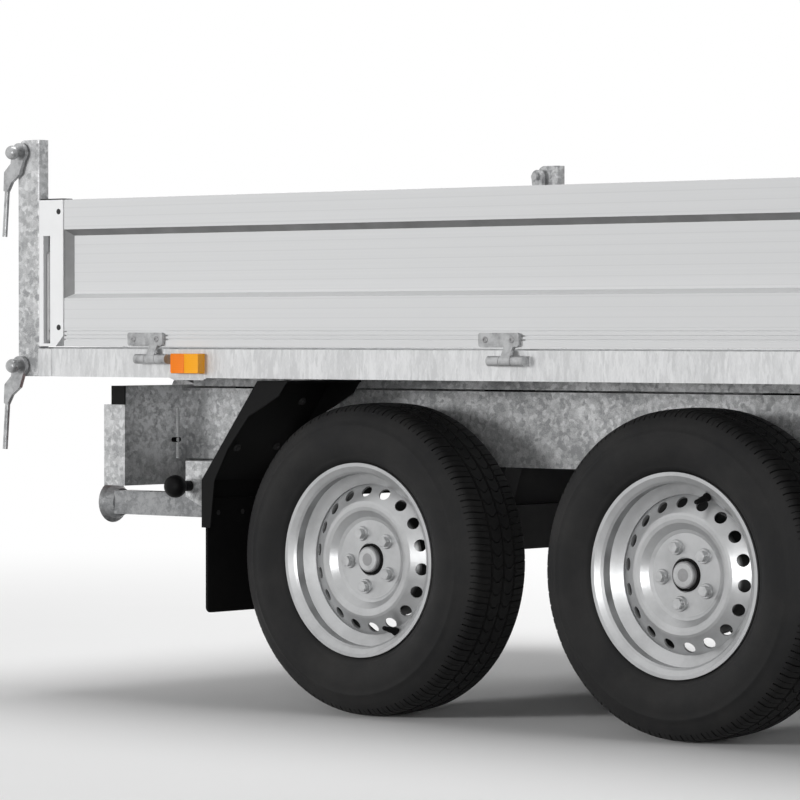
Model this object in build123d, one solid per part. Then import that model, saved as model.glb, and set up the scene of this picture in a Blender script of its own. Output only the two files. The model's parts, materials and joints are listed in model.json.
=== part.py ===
from build123d import *

import os
from math import atan2, cos, degrees, hypot, radians, sin

# Tandem-axle tipper trailer: galvanised chassis and drawbar, a rear-tipping bed with aluminium
# dropsides, a top-hung tailgate, a telescopic ram, rubber torsion axles and a jockey wheel.
# Millimetres. +X points to the coupling, +Y to the left side, +Z up, and the origin is on the
# ground at the middle of the overall length and width.

# Overall layout along the trailer
BED_LENGTH = 2720.0
BED_WIDTH = 1800.0
LATCH_REACH = 40.0
DRAWBAR_REACH = 1480.0
REAR_OVERHANG = 912.0
AXLE_SPACING = 790.0

X_BED_REAR = LATCH_REACH - (LATCH_REACH + BED_LENGTH + DRAWBAR_REACH) / 2
X_BED_FRONT = X_BED_REAR + BED_LENGTH
X_BED_MIDDLE = X_BED_REAR + BED_LENGTH / 2
X_NOSE = X_BED_FRONT + DRAWBAR_REACH
X_REAR_AXLE = X_BED_REAR + REAR_OVERHANG
X_FRONT_AXLE = X_REAR_AXLE + AXLE_SPACING
X_TANDEM = (X_REAR_AXLE + X_FRONT_AXLE) / 2
HALF_WIDTH = BED_WIDTH / 2
SIDES = (-1, 1)

# Running clearances
PIN_CLEARANCE = 0.3
SEAT_CLEARANCE = 0.5
MOVING_CLEARANCE = 5.0

# Wheels and tyres
TYRE_DIAMETER = 629.0
TYRE_SECTION = 201.0
TREAD_WIDTH = 150.0
TYRE_WALL = 12.0
TREAD_CROWN = 2.5
TREAD_EDGE = 10.0
WHEEL_INSET = 60.0
RIM_WIDTH = 162.0
RIM_LIP_RADIUS = 195.0
RIM_SEAT_RADIUS = 177.8
RIM_FLANGE = 11.0
RIM_WELL_RADIUS = 156.0
RIM_SHEET = 4.2
RIM_LIP = 5.0
RIM_ROLL = 7.0
RIM_STEP = 2.0
BEAD_SEAT = 22.0
OUTER_RAMP = 14.0
INNER_RAMP = 30.0
DISC_SHEET = 5.0
DISC_FACE_DEPTH = 42.0
DISC_CREST_DEPTH = 25.0
DISC_CREST_RADIUS = 110.0
DISC_EDGE_DEPTH = 50.0
DISC_SKIRT = 11.0
DISH_RADIUS = 79.0
DISH_BEND = 7.0
DISH_RISE = 3.0
# radius from the crest's, depth below the crest
DISC_CREST = ((8.0, 2.0), (3.0, 0.0), (-4.0, 0.5), (-11.0, 3.0))
VENT_COUNT = 18
VENT_RADIUS = 12.3
VENT_CIRCLE_RADIUS = 137.0
VENT_START = 13.7
BOLT_COUNT = 5
BOLT_START = 113.4
BOLT_CIRCLE_RADIUS = 56.0
BOLT_SHANK_RADIUS = 7.0
BOLT_HEAD_RADIUS = 11.0
BOLT_HEAD_HEIGHT = 15.0
HUB_BOSS_RADIUS = 33.0
HUB_FLANGE_RADIUS = 72.0
HUB_NECK_RADIUS = 44.0
HUB_TAIL_RADIUS = 38.0
HUB_BORE_END = 12.0
BOSS_DROP = 2.0
CAP_RADIUS = 25.0
CAP_OUT = 11.0
CAP_EDGE = 3.0
DRUM_RADIUS = 117.0
DRUM_WIDTH = 62.0
DRUM_SET_BACK = 8.0
DRUM_WALL = 9.0
DRUM_WEB = 12.0
SPINDLE_RADIUS = 20.0
SPINDLE_LENGTH = 124.0

TYRE_RADIUS = TYRE_DIAMETER / 2
Z_HUB = TYRE_RADIUS
Y_WHEEL = HALF_WIDTH - WHEEL_INSET - RIM_WIDTH / 2
RIM_HALF = RIM_WIDTH / 2

# Chassis beams and cross members
BEAM_TO_WHEEL = 149.0
BEAM_DEPTH = 60.0
BEAM_BOTTOM = 499.0
BEAM_HEIGHT = 152.0
BEAM_SHEET = 5.0
BEAM_TOP = BEAM_BOTTOM + BEAM_HEIGHT
LIGHT_BEAM_INSET = 100.0
LIGHT_BEAM_DEPTH = 62.0
LIGHT_BEAM_HEIGHT = 172.0
LIGHT_BEAM_SHEET = 4.0
LIGHT_BEAM_TOP = 617.0
CROSS_TUBE = 40.0
END_CAP = 3.0
CROSS_TUBE_INSET = 199.0
TIP_INSET = 122.0
Z_TIP_AXIS = 650.0
TIP_PIN_RADIUS = 12.0
TIP_EYE_RADIUS = 21.0
TIP_EAR_INSET = 110.0
TIP_EAR_WIDTH = 12.0
TIP_EAR_GAP = 46.0
TIP_EAR_CLEARANCE = 3.0
FRONT_MEMBER_WIDTH = 50.0
FRONT_MEMBER_INSET = 76.0
MEMBER_HEIGHT = 60.0
MEMBER_WIDTH = 50.0
BEAM_FACE = Y_WHEEL - BEAM_TO_WHEEL
LIGHT_BEAM_HALF = HALF_WIDTH - LIGHT_BEAM_INSET
TIP_EAR_Y = BEAM_FACE - TIP_EAR_INSET
X_CROSS_TUBE = X_BED_REAR + CROSS_TUBE_INSET
X_TIP_AXIS = X_BED_REAR + TIP_INSET
X_FRONT_MEMBER = X_BED_FRONT - FRONT_MEMBER_INSET

# Bed frame
RAIL_BOTTOM = 677.0
RAIL_HEIGHT = 59.0
RAIL_FLANGE = 45.0
RAIL_SHEET = 3.5
FLOOR_SHEET = 3.0
FLOOR_GAP = 2.0
BEARER_WIDTH = 50.0
BEARER_COUNT = 7
RUNNER_INSET = 10.0
RUNNER_WIDTH = 60.0
BUFFER_COUNT = 4
BUFFER_LENGTH = 90.0
BUFFER_INSET = 150.0
BUFFER_MARGIN = 4.0
BUFFER_THICKNESS = 4.0
POST_LENGTH = 61.0
POST_DEPTH = 34.0
POST_CORNER = 8.0
POST_WALL = 4.0
POST_TOP = 1180.0
POST_TOP_RADIUS = 20.0
RAIL_TOP = RAIL_BOTTOM + RAIL_HEIGHT
FLOOR_TOP = RAIL_TOP + FLOOR_SHEET
RUNNER_FACE = BEAM_FACE - RUNNER_INSET
RUNNER_BOTTOM = BEAM_TOP + BUFFER_THICKNESS
RUNNER_HEIGHT = RAIL_BOTTOM - RUNNER_BOTTOM

# Dropsides, front board and tailgate share one extruded profile
PANEL_THICKNESS = 30.0
PANEL_RECESS = 15.0
GROOVE_STRIP = 33.5
LOWER_BAND = 68.0
LOWER_SLOPE = 9.5
RECESS_HEIGHT = 123.0
UPPER_SLOPE = 13.0
UPPER_BAND = 63.0
GROOVE_WIDTH = 3.0
GROOVE_DEPTH = 5.0
GROOVE_HEIGHTS = (15.0, 23.0, 31.5)
PANEL_GAP = 5.0
PANEL_HEIGHT = GROOVE_STRIP + LOWER_BAND + LOWER_SLOPE + RECESS_HEIGHT + UPPER_SLOPE + UPPER_BAND
PANEL_BOTTOM = RAIL_TOP + PANEL_GAP
PANEL_TOP = PANEL_BOTTOM + PANEL_HEIGHT
LOCK_LENGTH = 72.0
LOCK_PROUD = 3.0
LOCK_CHAMFER = 22.0
LOCK_SLOT_WIDTH = 20.0
LOCK_SLOT_DEPTH = 16.0
LOCK_SLOT_INSET = 13.0
LOCK_SLOT_BOTTOM = 6.0
LOCK_SLOT_HEIGHT = 228.0
LOCK_SLOPE = 17.0
X_DROPSIDE_REAR = X_BED_REAR + POST_LENGTH + MOVING_CLEARANCE
X_DROPSIDE_FRONT = X_BED_FRONT - POST_LENGTH - MOVING_CLEARANCE

# Dropside hinges, spread about the middle of the bed
HINGE_INSET = 344.5
HINGE_SHARES = (-1.0, 0.0, 1.0)
HINGE_OUT = 14.0
HINGE_DROP = 20.5
HINGE_BARREL_RADIUS = 10.0
HINGE_PIN_RADIUS = 5.0
HINGE_KNUCKLE = 30.0
HINGE_PLATE_LENGTH = 100.0
HINGE_PLATE_BACK = 26.0
HINGE_PLATE_HEIGHT = 27.0
HINGE_PLATE_SHEET = 8.0
HINGE_PLATE_RISE = 2.0
HINGE_PLATE_CORNER = 5.0
HINGE_NECK = 22.0
HINGE_NECK_RISE = 4.0
HINGE_NECK_OUT = 6.0
HINGE_END_GAP = 1.0
HINGE_WEB = 5.0
HINGE_LEAF = 3.0
HINGE_HALF_SPREAD = (X_DROPSIDE_FRONT - X_DROPSIDE_REAR) / 2 - HINGE_INSET
HINGE_PLACES = [X_BED_MIDDLE + share * HINGE_HALF_SPREAD for share in HINGE_SHARES]
Y_HINGE = HALF_WIDTH + HINGE_OUT
Z_HINGE = RAIL_TOP - HINGE_DROP

# Tailgate, hung from the bolts at the top of the rear posts
TAILGATE_INSET = 7.0
ARM_SHEET = 12.0
ARM_ROOT = 22.0
ARM_OUTER_GAP = 8.0
ARM_EYE_RADIUS = 17.0
BOLT_RADIUS = 8.5
BOLT_BALL_RADIUS = 15.0
BOLT_BALL_OUT = 30.0
BOLT_INSET = 12.0
TOP_BOLT_DROP = 27.0
LOW_BOLT_RISE = 22.0
LEVER_GAP = 3.0
LEVER_SHEET = 9.0
LEVER_RING_RADIUS = 21.0
LEVER_DROP = 178.0
LEVER_GRIP_RADIUS = 5.5
# place along the trailer from the bolt, height above it
LEVER_LEAF = (
    (-21.0, 4.0),
    (17.0, -8.0),
    (2.0, -46.0),
    (-22.0, -62.0),
    (-36.0, -84.0),
    (-46.0, -80.0),
    (-44.0, -40.0),
    (-24.0, -22.0),
)
LEVER_NECK = (-38.0, -74.0)
X_BOLT = X_BED_REAR + BOLT_INSET
Z_TOP_BOLT = POST_TOP - TOP_BOLT_DROP
Z_LOW_BOLT = RAIL_BOTTOM + LOW_BOLT_RISE
ARM_INNER = HALF_WIDTH - POST_DEPTH - ARM_OUTER_GAP - ARM_SHEET

# Lamps
MARKER_LENGTH = 80.0
MARKER_HEIGHT = 41.0
MARKER_DEPTH = 19.0
MARKER_CORNER = 3.0
MARKER_AHEAD = 98.5
TAIL_LAMP_LENGTH = 220.0
TAIL_LAMP_HEIGHT = 92.0
TAIL_LAMP_DEPTH = 34.0
TAIL_LAMP_INSET = 60.0
TAIL_LAMP_DROP = 34.0
TAIL_LAMP_CORNER = 8.0

# Torsion axles
AXLE_TUBE = 90.0
AXLE_RISE = 60.0
AXLE_LEAD = 124.0
AXLE_OUT = 12.0
PAD_FLARE = 25.0
PAD_MARGIN = 4.0
AXLE_WEB = 6.0
ARM_THICKNESS = 30.0
ARM_BOSS_RADIUS = 42.0
ARM_HUB_RADIUS = 34.0
ARM_WEB = 60.0
ARM_NECK_RADIUS = 30.0
BACKPLATE_RADIUS = 118.0
BACKPLATE_SHEET = 4.0
AXLE_HALF = BEAM_FACE + AXLE_OUT
Z_AXLE = Z_HUB + AXLE_RISE

# Mudguards, measured from the rear axle: the front ones are the same, turned round and cut short
GUARD_SHEET = 4.0
GUARD_OUT = 30.0
GUARD_INSET = 34.0
GUARD_TOP = 672.0
GUARD_REACH = 405.0
GUARD_FOOT = 368.0
GUARD_KNEE = 466.0
GUARD_SHOULDER = 248.0
GUARD_FLAT = 83.0
GUARD_FOOT_LIP = 24.0
GUARD_FRONT_END = 312.0
# share of the slope's height, width of the lip along the trailer
GUARD_LIP = ((0.0, 36.0), (0.325, 24.0), (0.65, 31.0), (0.743, 55.0), (0.86, 82.0))
FLAP_SHEET = 6.0
FLAP_BOTTOM = 192.0
FLAP_OVERLAP = 60.0
FLAP_CORNER = 12.0
STAY_RADIUS = 9.0
REAR_STAYS = (0.22, 0.83)
FRONT_STAYS = (0.22, 0.45)
GUARD_INNER = BEAM_FACE + GUARD_OUT
GUARD_OUTER = HALF_WIDTH - GUARD_INSET

# Swing-down rear legs
LEG_TUBE = 50.0
LEG_WALL = 4.0
LEG_OUT = 90.0
LEG_BEHIND = 450.0
LEG_Z = 405.0
LEG_LENGTH = 377.0
LEG_PIN_RADIUS = 9.0
FOOT_RADIUS = 45.0
FOOT_DEPTH = 28.0
FOOT_SHEET = 4.0
FOOT_RIM = 8.0
FOOT_TOP_RADIUS = 29.0
LEG_PLATE = 6.0
LEG_PLATE_GAP = 6.0
LEG_PLATE_MARGIN = 24.0
LEG_PIN_END = 8.0
PLUNGER_BEHIND = 101.0
PLUNGER_RISE = 42.0
PLUNGER_STEM_RADIUS = 11.0
PLUNGER_STEM = 32.0
PLUNGER_COLLAR_RADIUS = 15.0
PLUNGER_COLLAR = 12.0
PLUNGER_KNOB_RADIUS = 24.0
LEG_Y = BEAM_FACE + LEG_OUT
X_LEG = X_REAR_AXLE - LEG_BEHIND

# Telescopic tipping ram between the axles
RAM_AHEAD = 520.0
Z_TRUNNION = 520.0
Z_RAM_BALL = 640.0
RAM_BALL_RADIUS = 28.0
RAM_BOTTOM = 205.0
BARREL_TOP = 596.0
BARREL_RADIUS = 55.0
RAM_WALL = 7.0
RAM_CLEARANCE = 0.5
RAM_STAGES = 3
TRUNNION_RADIUS = 16.0
TRUNNION_HALF = 92.0
TRUNNION_BAND = 7.0
TRUNNION_BAND_HEIGHT = 44.0
RAM_STEP = 4.0
RAM_NECK_RADIUS = 20.0
CRADLE_INNER = 68.0
CRADLE_SHEET = 12.0
CRADLE_REACH = 90.0
CUP_HALF = 60.0
CUP_DEPTH = 6.0
CUP_CLEARANCE = 1.0
X_RAM = X_REAR_AXLE + RAM_AHEAD

# Drawbar, overrun device and coupling
ARM_TUBE_WIDTH = 50.0
ARM_TUBE_HEIGHT = 90.0
ARM_REAR_INSET = 110.0
ARM_REAR_Z = 556.0
ARM_FRONT_Y = 64.0
Z_COUPLING = 430.0
ARM_FRONT_BACK = 536.0
ARM_SPARE = 240.0
ARM_END_GAP = 60.0
HOUSING_HALF = 45.0
HOUSING_LENGTH = 300.0
HOUSING_RADIUS = 36.0
HOUSING_BACK = 328.0
HOUSING_LOW = -42.0
HOUSING_HIGH = 62.0
# distance behind the housing's front, height above the shaft
HOUSING_NOSE = ((60.0, HOUSING_LOW), (20.0, -30.0), (20.0, 34.0), (120.0, HOUSING_HIGH))
BRAKE_AHEAD = 90.0
BRAKE_PIVOT = 40.0
BRAKE_LENGTH = 340.0
BRAKE_LEAN = 24.0
BRAKE_BAR = 26.0
BRAKE_BAR_SHEET = 9.0
BRAKE_GRIP_RADIUS = 15.0
BRAKE_GRIP = 110.0
BRAKE_GRIP_OVER = 10.0
QUADRANT_FOOT = 60.0
QUADRANT_TOP = 34.0
QUADRANT_HEIGHT = 54.0
QUADRANT_HALF = 7.0
GAITER_LENGTH = 98.0
GAITER_RADIUS = 44.0
GAITER_FOLDS = 6
GAITER_FOLD = 9.0
HEAD_LENGTH = 230.0
HEAD_HALF = 36.0
BALL_RADIUS = 25.0
BALL_SET_BACK = 46.0
SHAFT_CLAMP_RADIUS = 37.0
SHAFT_CLAMP = 110.0
HANDLE_HALF = 15.0
# distance behind the ball, height above it
HEAD_SIDE = ((124.0, -26.0), (0.0, -30.0), (0.0, 42.0), (124.0, 36.0))
HANDLE_SIDE = (
    (40.0, 38.0),
    (8.0, 38.0),
    (8.0, 64.0),
    (124.0, 92.0),
    (164.0, 106.0),
    (164.0, 92.0),
    (128.0, 78.0),
    (40.0, 56.0),
)
ARM_REAR_Y = BEAM_FACE - ARM_REAR_INSET
X_ARM_FRONT = X_NOSE - ARM_FRONT_BACK
X_HOUSING_FRONT = X_NOSE - HOUSING_BACK

# Jockey wheel
JOCKEY_BACK = 408.0
Y_JOCKEY = 110.0
JOCKEY_TUBE_RADIUS = 30.0
JOCKEY_LEG_RADIUS = 24.0
JOCKEY_TUBE_BOTTOM = 420.0
JOCKEY_TUBE_TOP = 770.0
JOCKEY_LEG_TOP = 575.0
JOCKEY_WHEEL_RADIUS = 105.0
JOCKEY_WHEEL_WIDTH = 60.0
JOCKEY_TRAIL = 45.0
JOCKEY_HUB_RADIUS = 26.0
JOCKEY_DISH_INNER = 32.0
JOCKEY_DISH_OUTER = 68.0
JOCKEY_DISH = 14.0
JOCKEY_WALL_RADIUS = 74.0
JOCKEY_SHOULDER = 8.0
JOCKEY_WALL_INSET = 3.0
JOCKEY_CROWN = 245.0
FORK_SHEET = 6.0
FORK_GAP = 5.0
FORK_CROWN = 16.0
FORK_BACK = 22.0
FORK_FRONT = 30.0
FORK_EYE = 20.0
FORK_PIN_END = 6.0
JOCKEY_AXLE_RADIUS = 8.0
JOCKEY_CRANK = 130.0
JOCKEY_CAP = 16.0
JOCKEY_CAP_RADIUS = 26.0
JOCKEY_CRANK_HALF = 9.0
JOCKEY_CLAMP_DROP = 8.0
JOCKEY_CLAMP_HEIGHT = 56.0
JOCKEY_CLAMP_WALL = 8.0
JOCKEY_LUG_HALF = 22.0
JOCKEY_GRIP_RADIUS = 11.0
JOCKEY_GRIP = 82.0
X_JOCKEY = X_NOSE - JOCKEY_BACK

# Hydraulic power pack box on the drawbar
PUMP_LENGTH = 420.0
PUMP_WIDTH = 400.0
PUMP_HEIGHT = 290.0
PUMP_BOTTOM = 606.0
PUMP_LID = 70.0
PUMP_GAP = 60.0
PUMP_OVERHANG = 6.0
PUMP_RADIUS = 24.0
PUMP_BAR = 40.0
PUMP_BAR_END = 20.0
PUMP_BAR_SEAT = 12.0


def span(x, y, z):
    """Box between two corners, each argument a (low, high) pair."""
    middle = ((x[0] + x[1]) / 2, (y[0] + y[1]) / 2, (z[0] + z[1]) / 2)
    return Pos(*middle) * Box(abs(x[1] - x[0]), abs(y[1] - y[0]), abs(z[1] - z[0]))


def along_y(radius, x, y, z):
    """Round bar across the trailer, y a (low, high) pair."""
    bar = Rot(90, 0, 0) * Cylinder(radius, abs(y[1] - y[0]))
    return Pos(x, (y[0] + y[1]) / 2, z) * bar


def along_x(radius, x, y, z):
    """Round bar along the trailer, x a (low, high) pair."""
    bar = Rot(0, 90, 0) * Cylinder(radius, abs(x[1] - x[0]))
    return Pos((x[0] + x[1]) / 2, y, z) * bar


def outline_face(points):
    """Flat face inside a closed ring of points."""
    return make_face(Polyline(*points, close=True))


def extrude_y(points, y):
    """Prism across the trailer from (x, z) points, y a (low, high) pair."""
    face = Plane.XZ * outline_face(points)
    low, high = min(y), max(y)
    return Pos(0, high, 0) * extrude(face, high - low)


def extrude_x(points, x):
    """Prism along the trailer from (y, z) points, x a (low, high) pair."""
    face = Plane.YZ * outline_face(points)
    return Pos(x[0], 0, 0) * extrude(face, x[1] - x[0])


def other_side(shape):
    """The same shape on the opposite side of the trailer."""
    return mirror(shape, about=Plane.XZ)


def both_sides(make):
    """One solid group per side: make() gives the left one, +Y outwards."""
    left = make()
    return [left, other_side(left)]


def solids_of(*shapes):
    """One compound that holds every solid of the given shapes."""
    found = []
    for shape in shapes:
        for item in shape if isinstance(shape, (list, tuple)) else [shape]:
            found.extend(item.solids())
    return Compound(children=found)


# Wheels

def tyre_section():
    """Hollow ring section, radius along X and axle along Y, seated between the rim flanges."""
    bead = RIM_HALF - RIM_FLANGE - RIM_STEP - SEAT_CLEARANCE
    seat = RIM_SEAT_RADIUS + SEAT_CLEARANCE
    wall = TYRE_RADIUS - RIM_LIP_RADIUS
    bulge = TYRE_SECTION / 2
    half_tread = TREAD_WIDTH / 2
    outside = [
        (seat, bead),
        (RIM_LIP_RADIUS + 0.02 * wall, bead),
        (RIM_LIP_RADIUS + 0.08 * wall, bulge - 0.16 * wall),
        (RIM_LIP_RADIUS + 0.24 * wall, bulge - 0.03 * wall),
        (RIM_LIP_RADIUS + 0.42 * wall, bulge),
        (RIM_LIP_RADIUS + 0.62 * wall, bulge - 0.03 * wall),
        (RIM_LIP_RADIUS + 0.84 * wall, bulge - 0.13 * wall),
        (RIM_LIP_RADIUS + 0.94 * wall, half_tread - TREAD_CROWN),
        (TYRE_RADIUS - TREAD_CROWN, half_tread - TREAD_EDGE),
        (TYRE_RADIUS, half_tread / 2),
    ]
    inside = [
        (TYRE_RADIUS - TYRE_WALL, half_tread - 2 * TYRE_WALL),
        (RIM_LIP_RADIUS + 0.75 * wall, bulge - 0.1 * wall - TYRE_WALL),
        (RIM_LIP_RADIUS + 0.42 * wall, bulge - TYRE_WALL),
        (RIM_LIP_RADIUS + 0.1 * wall, bulge - 0.16 * wall - TYRE_WALL),
        (seat, bead - TYRE_WALL),
    ]
    other_outside = [(radius, -y) for radius, y in outside[::-1]]
    other_inside = [(radius, -y) for radius, y in inside[::-1]]
    return outline_face(outside + other_outside + other_inside + inside)


def make_tyre():
    return revolve(tyre_section(), Axis.Y, 360)


def make_rim():
    """Pressed steel rim: a rolled drop-centre barrel with the vented disc welded inside it."""
    seat, well, sheet = RIM_SEAT_RADIUS, RIM_WELL_RADIUS, RIM_SHEET
    flange = RIM_HALF - RIM_FLANGE
    outer_ramp = flange - BEAD_SEAT, flange - BEAD_SEAT - OUTER_RAMP
    inner_ramp = -flange + BEAD_SEAT, -flange + BEAD_SEAT + INNER_RAMP
    outside = [
        (RIM_LIP_RADIUS, RIM_HALF - RIM_LIP),
        (seat + RIM_LIP, flange),
        (seat, flange - RIM_STEP),
        (seat, outer_ramp[0]),
        (well, outer_ramp[1]),
        (well, inner_ramp[1]),
        (seat, inner_ramp[0]),
        (seat, -flange + RIM_STEP),
        (seat + RIM_LIP, -flange),
        (RIM_LIP_RADIUS, -RIM_HALF + RIM_LIP),
    ]
    inside = [
        (RIM_LIP_RADIUS, -RIM_HALF),
        (RIM_LIP_RADIUS - RIM_ROLL, -RIM_HALF),
        (seat, -flange - sheet),
        (seat - sheet, -flange),
        (seat - sheet, inner_ramp[0] + RIM_STEP),
        (well - sheet, inner_ramp[1] + RIM_STEP),
        (well - sheet, outer_ramp[1] + RIM_STEP),
        (seat - sheet, outer_ramp[0] + RIM_STEP),
        (seat - sheet, flange),
        (seat, flange + sheet),
        (RIM_LIP_RADIUS - RIM_ROLL, RIM_HALF),
        (RIM_LIP_RADIUS, RIM_HALF),
    ]
    rim = revolve(outline_face(outside + inside), Axis.Y, 360)
    rim += revolve(disc_section(well - sheet), Axis.Y, 360)
    holes = [vent_cutter(well - sheet, VENT_START + 360 * i / VENT_COUNT) for i in range(VENT_COUNT)]
    holes += [
        cut_along_axle(BOLT_SHANK_RADIUS + SEAT_CLEARANCE, BOLT_CIRCLE_RADIUS, bolt_angle(i))
        for i in range(BOLT_COUNT)
    ]
    return rim - holes


def disc_line(skirt):
    """Outer face of the disc as (radius, y), from the barrel over the crest to the hub's bore."""
    face = RIM_HALF - DISC_FACE_DEPTH
    crest = [(DISC_CREST_RADIUS + out, RIM_HALF - DISC_CREST_DEPTH - low) for out, low in DISC_CREST]
    dish = [
        (DISH_RADIUS + DISH_BEND, face + DISH_RISE),
        (DISH_RADIUS, face),
        (HUB_BOSS_RADIUS + SEAT_CLEARANCE, face),
    ]
    return [(skirt, RIM_HALF - DISC_EDGE_DEPTH)] + crest + dish


def cone_slope(skirt):
    """Rise of the disc's vented cone for each millimetre towards the hub."""
    foot, top = disc_line(skirt)[:2]
    return (top[1] - foot[1]) / (foot[0] - top[0])


def disc_section(skirt):
    """Pressed disc: a skirt in the barrel, the vented cone, a round crest and the dished bolt face."""
    line = disc_line(skirt)
    foot_y = line[0][1]
    back = foot_y - DISC_SKIRT
    behind = [(radius, y - DISC_SHEET) for radius, y in line[:0:-1]]
    corner = (skirt - DISC_SHEET, foot_y + (cone_slope(skirt) - 1) * DISC_SHEET)
    return outline_face([(skirt, back)] + line + behind + [corner, (skirt - DISC_SHEET, back)])


def vent_cutter(skirt, angle):
    """Cutter square to the vented cone, at an angle round the axle."""
    slope = cone_slope(skirt)
    y = RIM_HALF - DISC_EDGE_DEPTH + slope * (skirt - VENT_CIRCLE_RADIUS)
    punch = Rot(0, 0, -degrees(atan2(slope, 1))) * Rot(-90, 0, 0) * Cylinder(VENT_RADIUS, 5 * DISC_SHEET)
    return Rot(0, -angle, 0) * Pos(VENT_CIRCLE_RADIUS, y, 0) * punch


def bolt_angle(index):
    return BOLT_START + 360 * index / BOLT_COUNT


def cut_along_axle(radius, circle, angle):
    """Cutter or bar parallel to the axle, on a circle round it."""
    bar = Rot(90, 0, 0) * Cylinder(radius, RIM_WIDTH)
    return Pos(circle * cos(radians(angle)), 0, circle * sin(radians(angle))) * bar


def make_hub():
    """Brake drum, wheel flange, bolts and grease cap, bored for the spindle."""
    face = RIM_HALF - DISC_FACE_DEPTH
    back = face - DISC_SHEET
    drum_inner = back - DRUM_SET_BACK
    drum_outer = back - DRUM_WIDTH
    bore = SPINDLE_RADIUS + PIN_CLEARANCE
    section = outline_face(
        [
            (bore, drum_outer + DRUM_WEB),
            (bore, face - HUB_BORE_END),
            (0, face - HUB_BORE_END),
            (0, face + CAP_OUT),
            (CAP_RADIUS - CAP_EDGE, face + CAP_OUT),
            (CAP_RADIUS, face + CAP_OUT - CAP_EDGE),
            (CAP_RADIUS, face - BOSS_DROP),
            (HUB_BOSS_RADIUS, face - BOSS_DROP),
            (HUB_BOSS_RADIUS, back),
            (HUB_FLANGE_RADIUS, back),
            (HUB_FLANGE_RADIUS, drum_inner),
            (DRUM_RADIUS - DRUM_WALL, drum_inner),
            (DRUM_RADIUS, drum_inner - DRUM_WALL),
            (DRUM_RADIUS, drum_outer),
            (DRUM_RADIUS - DRUM_WALL, drum_outer),
            (DRUM_RADIUS - DRUM_WALL, drum_inner - DRUM_WEB),
            (HUB_NECK_RADIUS, drum_inner - DRUM_WEB),
            (HUB_TAIL_RADIUS, drum_outer + DRUM_WEB),
        ]
    )
    hub = revolve(section, Axis.Y, 360)
    for index in range(BOLT_COUNT):
        angle = bolt_angle(index)
        x, z = BOLT_CIRCLE_RADIUS * cos(radians(angle)), BOLT_CIRCLE_RADIUS * sin(radians(angle))
        head = extrude(RegularPolygon(BOLT_HEAD_RADIUS, 6), BOLT_HEAD_HEIGHT)
        hub += Pos(x, face, z) * Rot(-90, 0, 0) * head
        hub += along_y(BOLT_SHANK_RADIUS, x, (drum_inner, face), z)
    return hub


def wheel_parts():
    """Tyre, rim and hub of each wheel, outer face away from the trailer."""
    parts = {}
    made = {"tyre": make_tyre(), "rim": make_rim(), "hub": make_hub()}
    for place, x in (("front", X_FRONT_AXLE), ("rear", X_REAR_AXLE)):
        for piece, shape in made.items():
            left = Pos(x, Y_WHEEL, Z_HUB) * shape
            parts[f"{piece}_{place}_left"] = left
            parts[f"{piece}_{place}_right"] = other_side(left)
    return parts


# Chassis

def main_beam():
    """Left main beam, a channel with its web outside, and the stays that hold the mudguards."""
    inner = BEAM_FACE - BEAM_DEPTH
    sheet = BEAM_SHEET
    points = [
        (BEAM_FACE, BEAM_BOTTOM),
        (BEAM_FACE, BEAM_TOP),
        (inner, BEAM_TOP),
        (inner, BEAM_TOP - sheet),
        (BEAM_FACE - sheet, BEAM_TOP - sheet),
        (BEAM_FACE - sheet, BEAM_BOTTOM + sheet),
        (inner, BEAM_BOTTOM + sheet),
        (inner, BEAM_BOTTOM),
    ]
    beam = extrude_x(points, (X_CROSS_TUBE + CROSS_TUBE / 2, X_FRONT_MEMBER))
    for x, z in stay_places():
        beam += along_y(STAY_RADIUS, x, (BEAM_FACE - sheet, GUARD_INNER), z)
    return beam


def cross_members():
    """Rear cross tube, the ram's cradle and the front member between the beams."""
    inner = BEAM_FACE - BEAM_SHEET
    wall = BEAM_SHEET
    tube_z = (LIGHT_BEAM_TOP, LIGHT_BEAM_TOP + CROSS_TUBE)
    tube_x = (X_CROSS_TUBE - CROSS_TUBE / 2, X_CROSS_TUBE + CROSS_TUBE / 2)
    tube_y = (-LIGHT_BEAM_HALF + END_CAP, LIGHT_BEAM_HALF - END_CAP)
    rear = span(tube_x, tube_y, tube_z)
    rear -= span(
        (tube_x[0] + wall, tube_x[1] - wall), (-BED_WIDTH, BED_WIDTH), (tube_z[0] + wall, tube_z[1] - wall)
    )
    z = (BEAM_BOTTOM + BEAM_SHEET, BEAM_BOTTOM + BEAM_SHEET + MEMBER_HEIGHT)
    cradle = None
    for side in SIDES:
        y = sorted((side * CRADLE_INNER, side * (CRADLE_INNER + CRADLE_SHEET)))
        plate = span((X_RAM - CRADLE_REACH, X_RAM + CRADLE_REACH), y, z)
        cradle = plate if cradle is None else cradle + plate
    cradle -= along_y(TRUNNION_RADIUS + PIN_CLEARANCE, X_RAM, (-HALF_WIDTH, HALF_WIDTH), Z_TRUNNION)
    for x in (X_RAM - CRADLE_REACH - MEMBER_WIDTH, X_RAM + CRADLE_REACH):
        cradle += span((x, x + MEMBER_WIDTH), (-inner, inner), z)
    front = (X_FRONT_MEMBER, X_FRONT_MEMBER + FRONT_MEMBER_WIDTH)
    return solids_of(rear, cradle, span(front, (-BEAM_FACE, BEAM_FACE), (BEAM_BOTTOM, BEAM_TOP)))


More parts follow.
